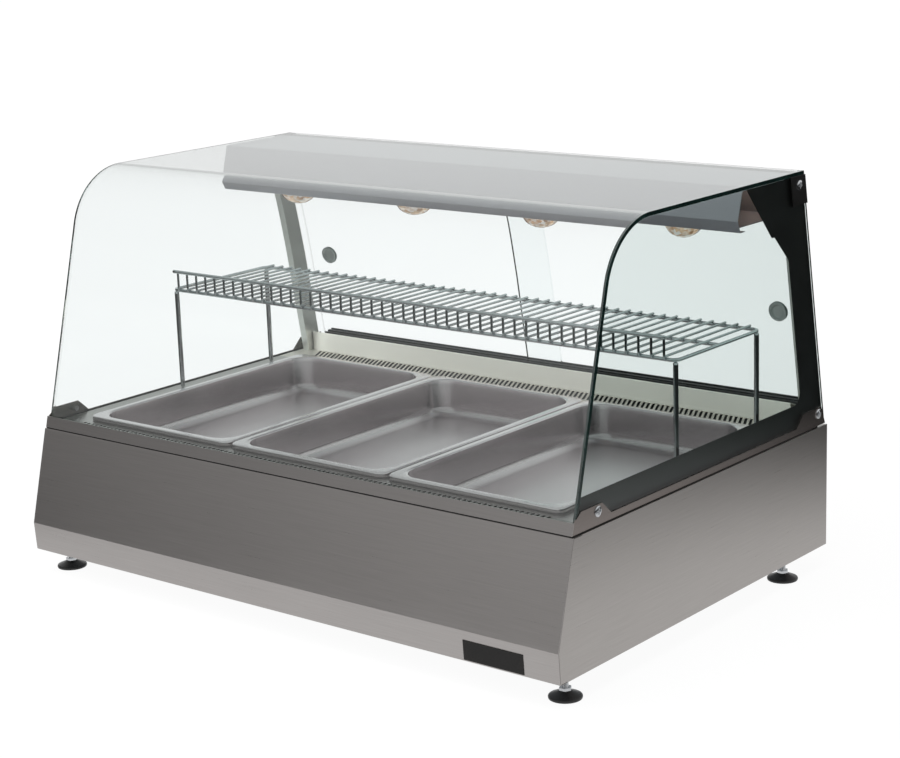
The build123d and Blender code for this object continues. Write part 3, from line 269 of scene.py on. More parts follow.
# Moulded acrylic, red and amber: glossy, and light sinks a little way into it
redRocker = solidFinish("MouldedRedAcrylic", ("#8e0f12", "#a81518"), (0.18, 0.26), 1.0,
                        {"IOR": 1.49, "Transmission Weight": 0.15}, bump=0.01)
amberLens = solidFinish("MouldedAmberAcrylic", ("#c9791a", "#dd8d27"), (0.12, 0.2), 1.0,
                        {"IOR": 1.49, "Transmission Weight": 0.4}, bump=0.01)
# Gloss black plate: smooth lacquer that hardly mirrors
glossBadge = solidFinish("GlossBlackBadge", ("#0a0908", "#100e0d"), (0.1, 0.16), 3.0, {"IOR": 1.35}, bump=0.002)
# Extruded silicone rubber: matt black with a fine bloom
sealRubber = solidFinish("ExtrudedSiliconeRubber", ("#141414", "#1f1e1d"), (0.6, 0.75), 0.6, {"IOR": 1.41}, bump=0.03)
# Glazed steatite lampholders: warm white with a soft gloss
whiteCeramic = solidFinish("GlazedSteatite", ("#dcd8cf", "#e8e5dd"), (0.25, 0.4), 1.0, {"IOR": 1.6}, bump=0.02)
# Nickel alloy element sheath, oxidised brown-black by heat, in blotches
elementSheath = solidFinish("OxidisedNickelSheath", ("#2f2b29", "#46403c"), (0.45, 0.6), 0.8, {"Metallic": 1.0},
                            bump=0.03, cloud=25)
# Drawn copper tube: warm and half polished
copperBulb = solidFinish("DrawnCopperTube", ("#a9643f", "#c17a52"), (0.25, 0.4), 0.8, {"Metallic": 1.0}, bump=0.02)
# Mineral wool board: matt yellow-brown fibres, in tufts
mineralWool = solidFinish("MineralWoolBoard", ("#8f8558", "#b3a873"), (0.85, 0.95), 1.6, {}, bump=0.8, cloud=14)
# Moulded ivory nylon: pale and waxy
terminalNylon = solidFinish("MouldedIvoryNylon", ("#cfc9b6", "#dcd7c6"), (0.4, 0.55), 0.8, {"IOR": 1.53}, bump=0.02)
# Clear float glass, nearly without tint across its thickness, and the right end's sheet, which shows a green cast
clearGlass = glassFinish("ClearFloatGlass", "#fdfefe", "#7fd8c8", 1.5)
endGlass = glassFinish("GreenFloatGlass", "#f3f8f7", "#7fc8bc", 9.0)
# Coated glass for the doors and the far end: almost no mirror image, so its IOR is matched far below the sheet's 1.52
coatedGlass = glassFinish("CoatedFloatGlass", "#fbfdfd", "#7fd8c8", 1.5, ior=1.18)
# Ground and polished glass edge: its blue-green is the glass's own tint and its near-black is painted shade, for light
# that runs along the sheet and leaves the cut face dark
glassEdge = solidFinish("GlassEdgeTintAndPaintedShade", ("#04100f", "#0a211e"), (0.12, 0.2), 6.0, {"IOR": 1.52}, bump=0.004)

# Pressed lens glass over a silvered bowl: a warm tint, with cells about 6 mm wide painted warm and white as painted
# glints on the bowl's flat facets. The lamps burn low: the bowl glows faintly in the cells' colours, and the bright
# neck lights the canopy from inside.
lampTones = {
    "glintCell": 6, "glass": ["#b98c68", "#f0cfae", "#fffaf4", "#d9a77c", "#f7e6d6"],
    "glowZ": (602, 612), "bowlGlow": 0.22, "neckGlow": 5.0,
}
lampGlass, tree, surface = newFinish(
    "PressedLampGlass", {"Metallic": 0.55, "Roughness": 0.08, "Coat Weight": 1.0, "Coat Roughness": 0.02})
place = addNode(tree, "TexCoord")
# Painted glints: white and warm colour cells stand in for glinting facets
cells = addNode(tree, "TexVoronoi", {"Scale": 1000 / lampTones["glintCell"]}, {"Vector": (place, "Object")})
shade = addNode(tree, "SeparateColor", None, {"Color": (cells, "Color")})
colour = addNode(tree, "ValToRGB", None, {"Fac": (shade, "Red")})
setRamp(colour, [(i / (len(lampTones["glass"]) - 1), code) for i, code in enumerate(lampTones["glass"])])
glow = riseShare(tree, *lampTones["glowZ"], lampTones["bowlGlow"], lampTones["neckGlow"])
tree.links.new(colour.outputs["Color"], surface.inputs["Base Color"])
tree.links.new(colour.outputs["Color"], surface.inputs["Emission Color"])
tree.links.new(glow.outputs["Result"], surface.inputs["Emission Strength"])
print("finishes made")

finishOfSlot = {
    "brushed_stainless": brushedFront, "pan_stainless": drawnPan, "canopy_stainless": satinCanopy,
    "galvanised_steel": galvanised, "plated_fixings": zincPlated, "clear_glass": clearGlass, "lamp_glass": lampGlass,
    "black_painted_steel": blackPaint, "chromed_wire": chromedWire, "chromed_pull": chromedPull,
    "black_plastic": blackAbs, "black_track": blackTrack, "red_rocker": redRocker, "amber_lens": amberLens,
    "gloss_badge": glossBadge, "seal_rubber": sealRubber, "white_ceramic": whiteCeramic,
    "element_sheath": elementSheath, "copper_bulb": copperBulb, "mineral_wool": mineralWool,
    "terminal_plastic": terminalNylon,
}
finishOfNode = {
    "side_panel_left": brushedSide, "side_panel_right": brushedSide, "side_ledges": brushedSide,
    "end_strips": polishedEdging, "top_clips": blackPaint, "end_glass_left": coatedGlass, "end_glass_right": endGlass,
    "door_left": coatedGlass, "door_right": coatedGlass,
    "rear_sill": rolledSill, "rear_posts": rolledPost, "rear_vent_strip": groundDeck,
}
slotOfNode = {entry["node"]: entry["material_slot"] for entry in frame["record"]["subparts"]}
for nodeName, node in nodes.items():
    finish = finishOfNode.get(nodeName, finishOfSlot[slotOfNode[nodeName]])
    node.data.materials.clear()
    node.data.materials.append(finish)
print("CAD nodes dressed")


# Quads between neighbouring rows and columns of a grid of points. Columns wrap round, rows wrap where asked, and
# capped closes both end rows.
def gridFaces(rows, cols, wrapRows=False, capped=True):
    r, c = np.meshgrid(np.arange(rows if wrapRows else rows - 1), np.arange(cols), indexing="ij")
    nextR, nextC = (r + 1) % rows, (c + 1) % cols
    quads = np.stack([r * cols + c, nextR * cols + c, nextR * cols + nextC, r * cols + nextC], -1)
    quads = quads.reshape(-1, 4).tolist()
    if capped and not wrapRows:
        quads += [list(range(cols)), list(range(rows * cols - 1, (rows - 1) * cols - 1, -1))]
    return quads


# Stacks several (points, faces) shells into one, each one's face numbers moved past those before it
def joinShells(shells):
    points, faces, start = [], [], 0
    for shellPoints, shellFaces in shells:
        points.append(shellPoints)
        faces += [[start + i for i in face] for face in shellFaces]
        start += len(shellPoints)
    return np.concatenate(points), faces


# Mesh from points in mm: closed shells are turned outward, Bevel rounds edges sharper than the crease angle,
# and Solidify gives an open surface its wall behind the seen side
def makePiece(name, shell, finish, body, standsFor, edge=0.0, wall=0.0, crease=40):
    points, faces = shell
    mesh = bpy.data.meshes.new(name)
    mesh.from_pydata((points / 1000).tolist(), [], faces)
    if not wall:
        work = bmesh.new()
        work.from_mesh(mesh)
        bmesh.ops.recalc_face_normals(work, faces=work.faces)
        work.to_mesh(mesh)
        work.free()
    mesh.polygons.foreach_set("use_smooth", [True] * len(mesh.polygons))
    mesh.materials.append(finish)
    piece = bpy.data.objects.new(name, mesh)
    bpy.context.scene.collection.objects.link(piece)
    if wall:
        solid = piece.modifiers.new("wall", "SOLIDIFY")
        solid.thickness = wall / 1000
        solid.offset = -1
    if edge:
        bevel = piece.modifiers.new("edge", "BEVEL")
        bevel.width = edge / 1000
        bevel.segments = 3
        bevel.limit_method = "ANGLE"
        bevel.angle_limit = math.radians(crease)
        bevel.harden_normals = True
    else:
        mesh.set_sharp_from_angle(angle=math.radians(crease))
    mesh.update()
    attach(piece, body)
    if standsFor:
        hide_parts(*standsFor)
    return piece


# Line with its inner corners replaced by arcs: each arc is tangent to both runs, radius times tan(half turn) away
def bentLine(corners, radii, steps=8):
    corners = np.array(corners, float)
    pieces = [corners[:1]]
    for before, at, after, radius in zip(corners[:-2], corners[1:-1], corners[2:], radii):
        into = (at - before) / np.linalg.norm(at - before)
        out = (after - at) / np.linalg.norm(after - at)
        turn = math.acos(np.clip(np.dot(into, out), -1, 1))
        reach = radius * math.tan(turn / 2)
        start, end = at - into * reach, at + out * reach
        middle = at + (out - into) / np.linalg.norm(out - into) * radius / math.cos(turn / 2)
        share = np.linspace(0, 1, steps + 1)[:, None]
        first, last = start - middle, end - middle
        pieces.append(middle + (np.sin((1 - share) * turn) * first + np.sin(share * turn) * last) / math.sin(turn))
    return np.concatenate(pieces + [corners[-1:]])


# A (y, z) line at one X place, as points
def lineAt(x, line):
    return np.column_stack([np.full(len(line), x), line])


# Sheet between an outer and an inner (y, z) line, carried along X from left to right
def sheetBetween(outer, inner, left, right):
    grid = np.stack([lineAt(left, outer), lineAt(right, outer), lineAt(right, inner), lineAt(left, inner)], axis=1)
    return grid.reshape(-1, 3), gridFaces(len(outer), 4)


# Sheet bent along a (y, z) line and carried along X: the line and its copy moved in by the thickness.
# The copy moves along the mean of the neighbouring runs' normals, stretched so each run keeps its thickness.
def bentSheet(line, thickness, left, right):
    run = np.diff(line, axis=0)
    normal = np.stack([run[:, 1], -run[:, 0]], -1) / np.linalg.norm(run, axis=1)[:, None]
    before, after = np.vstack([normal[:1], normal]), np.vstack([normal, normal[-1:]])
    mean = before + after
    shift = mean / (np.sum(mean * before, axis=1))[:, None]
    return sheetBetween(line, line + shift * thickness, left, right)


# Plate cut along X: a closed (y, z) outline at two X places, with flat ends
def cutPlate(outline, near, far):
    return np.concatenate([lineAt(near, outline), lineAt(far, outline)]), gridFaces(2, len(outline))


# Round bar along a path: rings square to the path, on the up direction and its cross with the tangent.
# Open ends are rounded over a share of the radius by rings that shrink as a quarter circle.
def roundBar(path, radius, sides=12, closed=False, up=(0, 0, 1), rounding=0.4):
    path = np.array(path, float)
    if closed:
        tangent = np.roll(path, -1, axis=0) - np.roll(path, 1, axis=0)
        reach = np.full(len(path), float(radius))
    else:
        tangent = np.gradient(path, axis=0)
        endRings = 4
        turn = np.linspace(math.pi / 2 * 0.98, 0, endRings)
        first, last = tangent[0] / np.linalg.norm(tangent[0]), tangent[-1] / np.linalg.norm(tangent[-1])
        into = (1 - np.sin(turn))[:, None] * radius * rounding
        path = np.concatenate([path[0] + first * into, path[1:-1], (path[-1] - last * into)[::-1]])
        tangent = np.concatenate([np.tile(first, (endRings, 1)), tangent[1:-1], np.tile(last, (endRings, 1))])
        shrunk = radius * np.cos(turn)
        reach = np.concatenate([shrunk, np.full(len(path) - 2 * endRings, radius), shrunk[::-1]])
    tangent /= np.linalg.norm(tangent, axis=1)[:, None]
    side = np.cross(tangent, up)
    side /= np.linalg.norm(side, axis=1)[:, None]
    lift = np.cross(side, tangent)
    angle = np.linspace(0, 2 * math.pi, sides, endpoint=False)[None, :, None]
    grid = path[:, None] + reach[:, None, None] * (np.cos(angle) * side[:, None] + np.sin(angle) * lift[:, None])
    return grid.reshape(-1, 3), gridFaces(len(path), sides, wrapRows=closed)


# Straight round bar between two points, with one more ring a little way in from each end
def straightBar(start, end, insets, radius, sides, **look):
    start, end = np.array(start, float), np.array(end, float)
    along = (end - start) / np.linalg.norm(end - start)
    return roundBar([start, start + along * insets[0], end - along * insets[1], end], radius, sides, **look)


# Turned form: a (radius, height) profile carried round an axis; wobble scales the radius by angle and height
def turnedForm(profile, centre, axis=(0, 0, 1), sides=48, wobble=None):
    profile = np.array(profile, float)
    axis = np.array(axis, float) / np.linalg.norm(axis)
    side = np.cross(axis, (1, 0, 0) if abs(axis[0]) < 0.9 else (0, 1, 0))
    side /= np.linalg.norm(side)
    lift = np.cross(axis, side)
    angle = np.linspace(0, 2 * math.pi, sides, endpoint=False)[None, :]
    radius = np.maximum(profile[:, :1], 0.02) * np.ones_like(angle)
    if wobble:
        radius = radius * wobble(angle, profile[:, 1:], radius)
    around = np.cos(angle)[..., None] * side + np.sin(angle)[..., None] * lift
    grid = np.array(centre, float) + profile[:, 1, None, None] * axis + radius[..., None] * around
    return grid.reshape(-1, 3), gridFaces(len(profile), sides)


print("shape functions ready")

# Curved front and roof glass: up the lean, round the bend and back to the rear, in one 6 mm sheet
frontGlass = {"setback": 6, "thickness": 6, "radius": 117, "sideX": 545.5, "steps": 48, "edge": 0.7}
bendZ = cabinet["height"] - frontGlass["radius"]
tangentZ = bendZ + frontGlass["radius"] * math.sin(frontLean)
bendY = frontFaceY(tangentZ, frontGlass["setback"]) + frontGlass["radius"] * math.cos(frontLean)


# Glass line at an inset: the leaning foot, an arc from the lean to level about the bend's centre, the roof's rear end
def glassLine(inset):
    angle = np.linspace(frontLean, math.pi / 2, frontGlass["steps"])
    radius = frontGlass["radius"] - inset
    arc = np.column_stack([bendY - radius * np.cos(angle), bendZ + radius * np.sin(angle)])
    top, footZ = cabinet["height"] - inset, cabinet["deckTop"]
    foot = [[frontFaceY(footZ, frontGlass["setback"] + inset), footZ]]
    return np.concatenate([foot, arc, [[rearFaceY(top), top]]])


outer, inner, sideX = glassLine(0), glassLine(frontGlass["thickness"]), frontGlass["sideX"]
makePiece("frontGlassCurved", sheetBetween(outer, inner, -sideX, sideX), clearGlass, "cabinet", ["front_glass"],
          edge=frontGlass["edge"])
print("front glass made")

# Cut edges of the glass, an opaque strip in the glass's tint and painted shade: the strip between the curved sheet's
# outer and inner lines, a hair proud of each end, and on the right the front and rear edges of the end glass
edgeStrip = {
    "proud": 0.3, "leftDepth": 2.5, "endInset": 6.05, "endSheet": 0.15, "endX": (539.6, 545.4),
    "rearZ": (256, 663), "rearProud": 0.05,
}
rightEdge = np.concatenate([outer, inner[::-1]])
leftEdge = np.concatenate([outer, glassLine(edgeStrip["leftDepth"])[::-1]])
rearEdge = np.array([(rearFaceY(z) + edgeStrip["rearProud"], z) for z in edgeStrip["rearZ"]])
edges = [cutPlate(rightEdge, sideX, sideX + edgeStrip["proud"]),
         cutPlate(leftEdge, -sideX, -sideX - edgeStrip["proud"]),
         bentSheet(glassLine(edgeStrip["endInset"]), edgeStrip["endSheet"], *edgeStrip["endX"]),
         bentSheet(rearEdge, edgeStrip["endSheet"], *edgeStrip["endX"])]
# Painted shade: opaque near-black strips stand at the glass's cut edges
makePiece("glassCutEdges", joinShells(edges), glassEdge, "cabinet", [])

# Food pans: rolled rim with a folded skirt, drawn walls with draft, rounded floor
pan = {
    "width": 325, "length": 530, "depth": 64, "rim": 12.5, "skirt": 8, "draft": 5, "rimTop": 263.3, "midY": -17.4,
    "rimCorner": 16, "bodyCorner": 41, "leastCorner": 4, "cornerShrink": 0.45, "rimBend": 2.2, "edgeBend": 2.6,
    "floorBend": 17, "floorInset": 95, "wall": 0.9, "pitch": 330, "bendSteps": 10, "quarterSteps": 15,
}


# Rounded rectangle rings: each ring is the rim's rectangle inset by d, its corner radius following the inset.
# A quarter of each ring is an arc about its corner's centre, and straight runs join the quarters.
def panSurface(middleX):
    slant = pan["depth"] * math.tan(math.radians(pan["draft"]))
    corners = [(0, -pan["skirt"]), (0, 0), (pan["rim"], 0), (pan["rim"] + slant, -pan["depth"]),
               (pan["floorInset"], -pan["depth"])]
    line = bentLine(corners, [pan["rimBend"], pan["edgeBend"], pan["floorBend"]], pan["bendSteps"])
    inset, drop = line[:, 0], line[:, 1]
    grow = np.clip(inset / pan["rim"], 0, 1)
    corner = pan["rimCorner"] + (pan["bodyCorner"] - pan["rimCorner"]) * grow
    corner = np.maximum(corner - np.clip(inset - pan["rim"], 0, None) * pan["cornerShrink"], pan["leastCorner"])
    quarter = np.linspace(0, math.pi / 2, pan["quarterSteps"])
    angle = np.concatenate([quarter + i * math.pi / 2 for i in range(4)])
    facing = np.repeat(np.arange(4), pan["quarterSteps"]) * math.pi / 2 + math.pi / 4
    halfX, halfY = pan["width"] / 2 - inset, pan["length"] / 2 - inset
    x = np.sign(np.cos(facing)) * (halfX - corner)[:, None] + corner[:, None] * np.cos(angle)
    y = np.sign(np.sin(facing)) * (halfY - corner)[:, None] + corner[:, None] * np.sin(angle)
    z = np.broadcast_to((pan["rimTop"] + drop)[:, None], x.shape)
    rows, cols = x.shape
    walls = [face[::-1] for face in gridFaces(rows, cols, capped=False)]
    floorFace = list(range((rows - 1) * cols, rows * cols))
    return np.stack([middleX + x, pan["midY"] + y, z], -1).reshape(-1, 3), walls + [floorFace]


for place, hand in (("left", -1), ("middle", 0), ("right", 1)):
    makePiece("pan" + place.title(), panSurface(hand * pan["pitch"]), drawnPan, "pan_" + place, ["pan_" + place],
              wall=pan["wall"])
print("pans made")

# Wire shelf: bent ring with a middle rail, welded rods, a fence along the front and four legs
shelf = {
    "railX": 524.5, "frontY": -36.9, "rearY": 199.1, "z": 433.3, "rail": 3, "bend": 12, "rod": 2, "rodZ": 438,
    "rodPitch": 22.5, "rodCount": 46, "overhang": 3, "fenceY": -41.9, "fenceTop": 467.3, "fenceLeft": -517.5,
    "fenceRight": 508.25, "leg": 4, "legX": 521, "legFoot": 255.3, "railSides": 14, "rodSides": 10, "legSides": 18,
    "uprightInsets": (8, 4), "topInsets": (9, 9), "legInsets": (9, 6), "legRounding": 0.6,
}
rodX = (np.arange(shelf["rodCount"]) - (shelf["rodCount"] - 1) / 2) * shelf["rodPitch"]
x, near, far, z = shelf["railX"], shelf["frontY"], shelf["rearY"], shelf["z"]
mid, over = (near + far) / 2, shelf["overhang"]
ring = bentLine([(0, near, z), (x, near, z), (x, far, z), (-x, far, z), (-x, near, z), (0, near, z)],
                [shelf["bend"]] * 4)
rack = [roundBar(ring[:-1], shelf["rail"], shelf["railSides"], closed=True),
        straightBar((-x, mid, z), (x, mid, z), (x / 2, x / 2), shelf["rail"], shelf["railSides"])]
rack += [straightBar((i, near - over, shelf["rodZ"]), (i, far + over, shelf["rodZ"]), (over, over), shelf["rod"],
                     shelf["rodSides"]) for i in rodX]
makePiece("shelfRackWires", joinShells(rack), chromedWire, "wire_shelf", ["shelf_rack"])
fenceY, fenceTop = shelf["fenceY"], shelf["fenceTop"]
fence = [straightBar((i, fenceY, z), (i, fenceY, fenceTop), shelf["uprightInsets"], shelf["rod"],
                     shelf["rodSides"], up=(0, 1, 0)) for i in rodX]
fence.append(straightBar((shelf["fenceLeft"], fenceY, fenceTop), (shelf["fenceRight"], fenceY, fenceTop),
                         shelf["topInsets"], shelf["rail"], shelf["railSides"]))
makePiece("shelfFenceWires", joinShells(fence), chromedWire, "wire_shelf", ["shelf_fence"])
inset = shelf["railX"] - shelf["legX"]
legs = [straightBar((hand * shelf["legX"], y, shelf["legFoot"]), (hand * shelf["legX"], y, z - shelf["rail"]),
                    shelf["legInsets"], shelf["leg"], shelf["legSides"], up=(0, 1, 0), rounding=shelf["legRounding"])
        for hand in (-1, 1) for y in (near + inset, far - inset)]
makePiece("shelfLegBars", joinShells(legs), chromedWire, "wire_shelf", ["shelf_legs"])
print("wire shelf made")

# Base front: chin, fold and leaning face in one bent sheet, wrapped over the side panels' front edges
front = {"bottomFlange": 18, "topFlange": 22, "bend": 2.4, "foldBend": 4, "edge": 0.35, "steps": 6}
chinY, topY = cabinet["frontY"] + cabinet["chinSetback"], frontFaceY(cabinet["baseTop"])
line = bentLine([(chinY + front["bottomFlange"], cabinet["footHeight"]), (chinY, cabinet["footHeight"]),
                 (cabinet["frontY"], cabinet["foldZ"]), (topY, cabinet["baseTop"]),
                 (topY + front["topFlange"], cabinet["baseTop"])],
                [front["bend"], front["foldBend"], front["bend"]], front["steps"])
makePiece("frontPanelSheet", bentSheet(line, cabinet["sheet"], -cabinet["sideX"], cabinet["sideX"]), brushedFront,
          "cabinet", ["front_panel"], edge=front["edge"])

# Black end trim: a band along the deck, an upright and a stepped gusset, a hair clear of the glass it is held to
trim = {
    "near": 538.3, "far": 539.2, "setback": 13.4, "foot": 255, "band": 295, "post": 62, "corner": 18, "gussetZ": 534,
    "notchZ": 577, "notchRun": 8, "reach": 126, "top": 663, "edgeGap": 1, "bend": 1.5, "notchBend": 1.0, "edge": 0.2,
    "steps": 6,
}
gussetY = rearFaceY(trim["gussetZ"], trim["post"])
notchY = gussetY - (trim["notchZ"] - trim["gussetZ"])
trimCorners = [(frontFaceY(trim["foot"], trim["setback"]), trim["foot"]),
               (frontFaceY(trim["band"], trim["setback"]), trim["band"]),
               (rearFaceY(trim["band"], trim["post"]), trim["band"]), (gussetY, trim["gussetZ"]),
               (notchY, trim["notchZ"]), (notchY - trim["notchRun"], trim["notchZ"]),
               (gussetY - trim["reach"], trim["top"]), (rearFaceY(trim["top"], trim["edgeGap"]), trim["top"]),
               (rearFaceY(trim["foot"], trim["edgeGap"]), trim["foot"])]
bend, notchBend = trim["bend"], trim["notchBend"]
trimLine = bentLine(trimCorners, [bend, trim["corner"], bend, notchBend, notchBend, bend, bend], trim["steps"])
makePiece("endTrimPlate", cutPlate(trimLine, trim["near"], trim["far"]), blackPaint, "cabinet", ["end_trim_right"],
          edge=trim["edge"])

# Rear sill: front wall, a ledge that falls behind it, the sunk seat of the door track and the rear wall
sill = {
    "frontY": 308.6, "foot": 255, "wallTop": 291, "ledgeN": 25.5, "ledgeS": 39.27, "seatS": 31.77, "rearY": 371,
    "rearTop": 276.7, "rearFoot": 245, "endX": 516.3, "bend": 1.8, "edge": 0.3, "steps": 5,
}
line = bentLine([(sill["frontY"], sill["foot"]), (sill["frontY"], sill["wallTop"]),
                 rearPoint(sill["ledgeN"], sill["ledgeS"]), rearPoint(sill["ledgeN"], sill["seatS"]),
                 (sill["rearY"], sill["rearTop"]), (sill["rearY"], sill["rearFoot"])], [sill["bend"]] * 4,
                sill["steps"])
makePiece("rearSillSheet", bentSheet(line, cabinet["sheet"], -sill["endX"], sill["endX"]), rolledSill, "cabinet",
          ["rear_sill"], edge=sill["edge"])

# Canopy cover: level top, raked face, turned-back lip and a return that carries the lamp tray
canopy = {
    "top": 663, "depth": 177, "face": 46, "rake": 13, "lip": 18, "lipBack": 7, "back": 14, "rearN": 25.2,
    "endX": 538, "sheet": 1.2, "bend": 2.5, "edge": 0.3, "steps": 6,
}
canopyY = rearFaceY(canopy["top"]) - canopy["depth"]
canopyBase = canopy["top"] - canopy["face"] - canopy["lip"]
lipY = canopyY - canopy["rake"] + canopy["lipBack"]
line = bentLine([(lipY + canopy["back"], canopyBase), (lipY, canopyBase),
                 (canopyY - canopy["rake"], canopy["top"] - canopy["face"]), (canopyY, canopy["top"]),
                 (rearFaceY(canopy["top"], canopy["rearN"]), canopy["top"]),
                 (rearFaceY(canopyBase, canopy["rearN"]), canopyBase)], [canopy["bend"]] * 4, canopy["steps"])
makePiece("canopySheet", bentSheet(line, canopy["sheet"], -canopy["endX"], canopy["endX"]), satinCanopy, "cabinet",
          ["canopy_cover"], edge=canopy["edge"])
print("sheet metal made")

# Heat lamps: pressed bowl with facets, waist, neck and cap
lamp = {
    "y": 171.3, "places": (-405, -135, 135, 405), "crown": 573.8, "wide": 601.8, "radius": 31.4, "band": 2,
    "neck": 15, "neckZ": 618.8, "neckRun": 12, "top": 655.8, "cap": 13, "bends": [3, 6, 0.4, 0.4],
    "capStep": 1, "bendSteps": 4, "bowlSteps": 9, "sides": 16, "crease": 8,
}
turn = np.linspace(0, math.pi / 2, lamp["bowlSteps"])
bowl = np.column_stack([lamp["radius"] * np.sin(turn), lamp["wide"] - (lamp["wide"] - lamp["crown"]) * np.cos(turn)])
neckTop = lamp["neckZ"] + lamp["neckRun"]
neckLine = bentLine([(lamp["radius"], lamp["wide"]), (lamp["radius"], lamp["wide"] + lamp["band"]),
                     (lamp["neck"], lamp["neckZ"]), (lamp["neck"], neckTop),
                     (lamp["cap"], neckTop + lamp["capStep"]), (lamp["cap"], lamp["top"])],
                    lamp["bends"], lamp["bendSteps"])
lampLine = np.concatenate([bowl, neckLine[1:], [[0, lamp["top"]]]])
bulbs = [turnedForm(lampLine, (x, lamp["y"], 0), sides=lamp["sides"]) for x in lamp["places"]]
makePiece("heatLampBulbs", joinShells(bulbs), lampGlass, "cabinet", ["heat_lamps"], crease=lamp["crease"])

# Adjustable feet: rounded pad, hexagon and a rolled thread that winds once per pitch
foot = {
    "x": 522, "front": -322, "rear": 282, "hex": 17, "stud": 5, "studFoot": 6, "hexTop": 17, "top": 70, "pitch": 1.5,
    "threadDepth": 0.09, "endDepth": 0.05, "endRun": 1, "pitchSteps": 8, "studSides": 32, "crease": 30,
    "pad": [(0, 0), (23, 0), (24.6, 0.5), (25, 1.6), (25, 3.4), (24.4, 4.4), (22, 5.4), (15, 8.4), (10.5, 10.6),
            (9.2, 11.6), (8.4, 12), (0, 12)],
    "hexRise": [(0, 12), (0.95, 12), (1, 12.6), (1, 16.2), (0.95, 16.9), (0, 17)],
}
threadZ = np.arange(foot["hexTop"], foot["top"], foot["pitch"] / foot["pitchSteps"])


# Thread: the radius follows a triangle wave of height along the stud less the turn, once per pitch, and the wave is
# shallower by the stud's ends
def threadRadius(angle, z, radius):
    phase = (z / foot["pitch"] - angle / (2 * math.pi)) % 1
    full = (z > foot["hexTop"] + foot["endRun"]) & (z < foot["top"] - foot["endRun"])
    depth = np.where(full, foot["threadDepth"], foot["endDepth"])
    return 1 - depth * np.abs(2 * phase - 1)


# Hexagon: the radius at an angle is the flat's distance over the cosine of the angle from the flat's middle
def hexRadius(angle, z, radius):
    off = (angle + math.pi / 6) % (math.pi / 3) - math.pi / 6
    return np.where(radius > foot["hex"] / 2 * 0.9, 1 / np.cos(off), 1)


hexLine = np.array(foot["hexRise"]) * (foot["hex"] / 2, 1)
studLine = np.concatenate([[[0, foot["studFoot"]], [foot["stud"], foot["studFoot"]]],
                           np.column_stack([np.full(len(threadZ), foot["stud"]), threadZ]), [[0, foot["top"]]]])
for place in ("front_left", "front_right", "rear_left", "rear_right"):
    end, side = place.split("_")
    spot = ((1 if side == "right" else -1) * foot["x"], foot[end], 0)
    label = end.title() + side.title()
    makePiece("footPad" + label, turnedForm(foot["pad"], spot), blackAbs, "foot_" + place, ["foot_pad_" + place])
    stud = joinShells([turnedForm(studLine, spot, sides=foot["studSides"], wobble=threadRadius),
                       turnedForm(hexLine, spot, wobble=hexRadius)])
    makePiece("footStud" + label, stud, zincPlated, "foot_" + place, ["foot_stud_" + place], crease=foot["crease"])
print("lamps and feet made")

# Finger pulls: a dished cup on each side of a thin web, with a rounded flange against the glass
pull = {
    "x": 486, "s": 197.1, "middleN": {"left": 8.5, "right": 19.7}, "sides": 56,
    "cup": [(0, 0.5), (7.5, 0.55), (10.2, 0.9), (11.2, 1.7), (11.5, 2.7), (11.9, 3.4), (12.7, 3.7), (14.9, 3.7),
            (16.1, 3.35), (16.5, 2.6), (14, 2.5)],
}
pullLine = pull["cup"] + [(radius, -height) for radius, height in pull["cup"][::-1]]
inwardAxis = (0, -math.cos(rearLean), -math.sin(rearLean))
for place, hand in (("left", -1), ("right", 1)):
    spot = (hand * pull["x"], *rearPoint(pull["middleN"][place], pull["s"]))
    makePiece("fingerPull" + place.title(), turnedForm(pullLine, spot, inwardAxis, pull["sides"]), chromedPull,
              "door_" + place, ["finger_pull_" + place])

# Glass screws: domed heads with a cross recess, and their shanks through the glass
screw = {
    "seat": 547, "head": 8, "height": 2.5, "shank": 2.5, "slot": 1.2, "reach": 4.9, "deep": 1.6, "slope": 0.15,
    "domeSpan": 1.12, "rimEdge": 0.3, "sides": 48, "crease": 35,
    "places": ((-269.7, 267), (350.6, 267), (286.4, 649)), "length": {1: 12.7, -1: 11.5},
    "rings": [0.02, 0.7, 1.1, 1.3, 2.0, 3.0, 4.0, 4.7, 5.0, 5.7, 6.7, 7.4, 7.85, 8.0],
}


# Screw: rings of radius r round X. The head's height is a dome, less a cross where |across| or |up| is under the
# slot's half width.
def crossScrew(y, z, hand):
    angle = np.linspace(0, 2 * math.pi, screw["sides"], endpoint=False)[None, :]
    ring = np.array(screw["rings"])[:, None]
    across, up = ring * np.cos(angle), ring * np.sin(angle)
    dome = screw["height"] * np.sqrt(np.clip(1 - (ring / (screw["head"] * screw["domeSpan"])) ** 2, 0, 1))
    arm = np.minimum(np.abs(across), np.abs(up))
    cross = np.clip((screw["slot"] - arm) / screw["slope"], 0, 1)
    cross = cross * np.clip((screw["reach"] - ring) / screw["slope"], 0, 1)
    tip = -screw["length"][hand]
    lower = np.array([[screw["head"], screw["rimEdge"]], [screw["head"], 0.0], [screw["shank"], 0.0],
                      [screw["shank"], tip], [screw["rings"][0], tip]])
    across = np.concatenate([across, lower[:, :1] * np.cos(angle)])
    up = np.concatenate([up, lower[:, :1] * np.sin(angle)])
    out = np.concatenate([dome - screw["deep"] * cross, np.repeat(lower[:, 1:], angle.shape[1], axis=1)])
    grid = np.stack([hand * (screw["seat"] + out), y + across, z + up], -1)
    return grid.reshape(-1, 3), gridFaces(*grid.shape[:2])


screws = [crossScrew(y, z, hand) for hand in (-1, 1) for y, z in screw["places"]]
makePiece("glassScrewHeads", joinShells(screws), zincPlated, "cabinet", ["glass_screws"], crease=screw["crease"])
print("pulls and screws made")

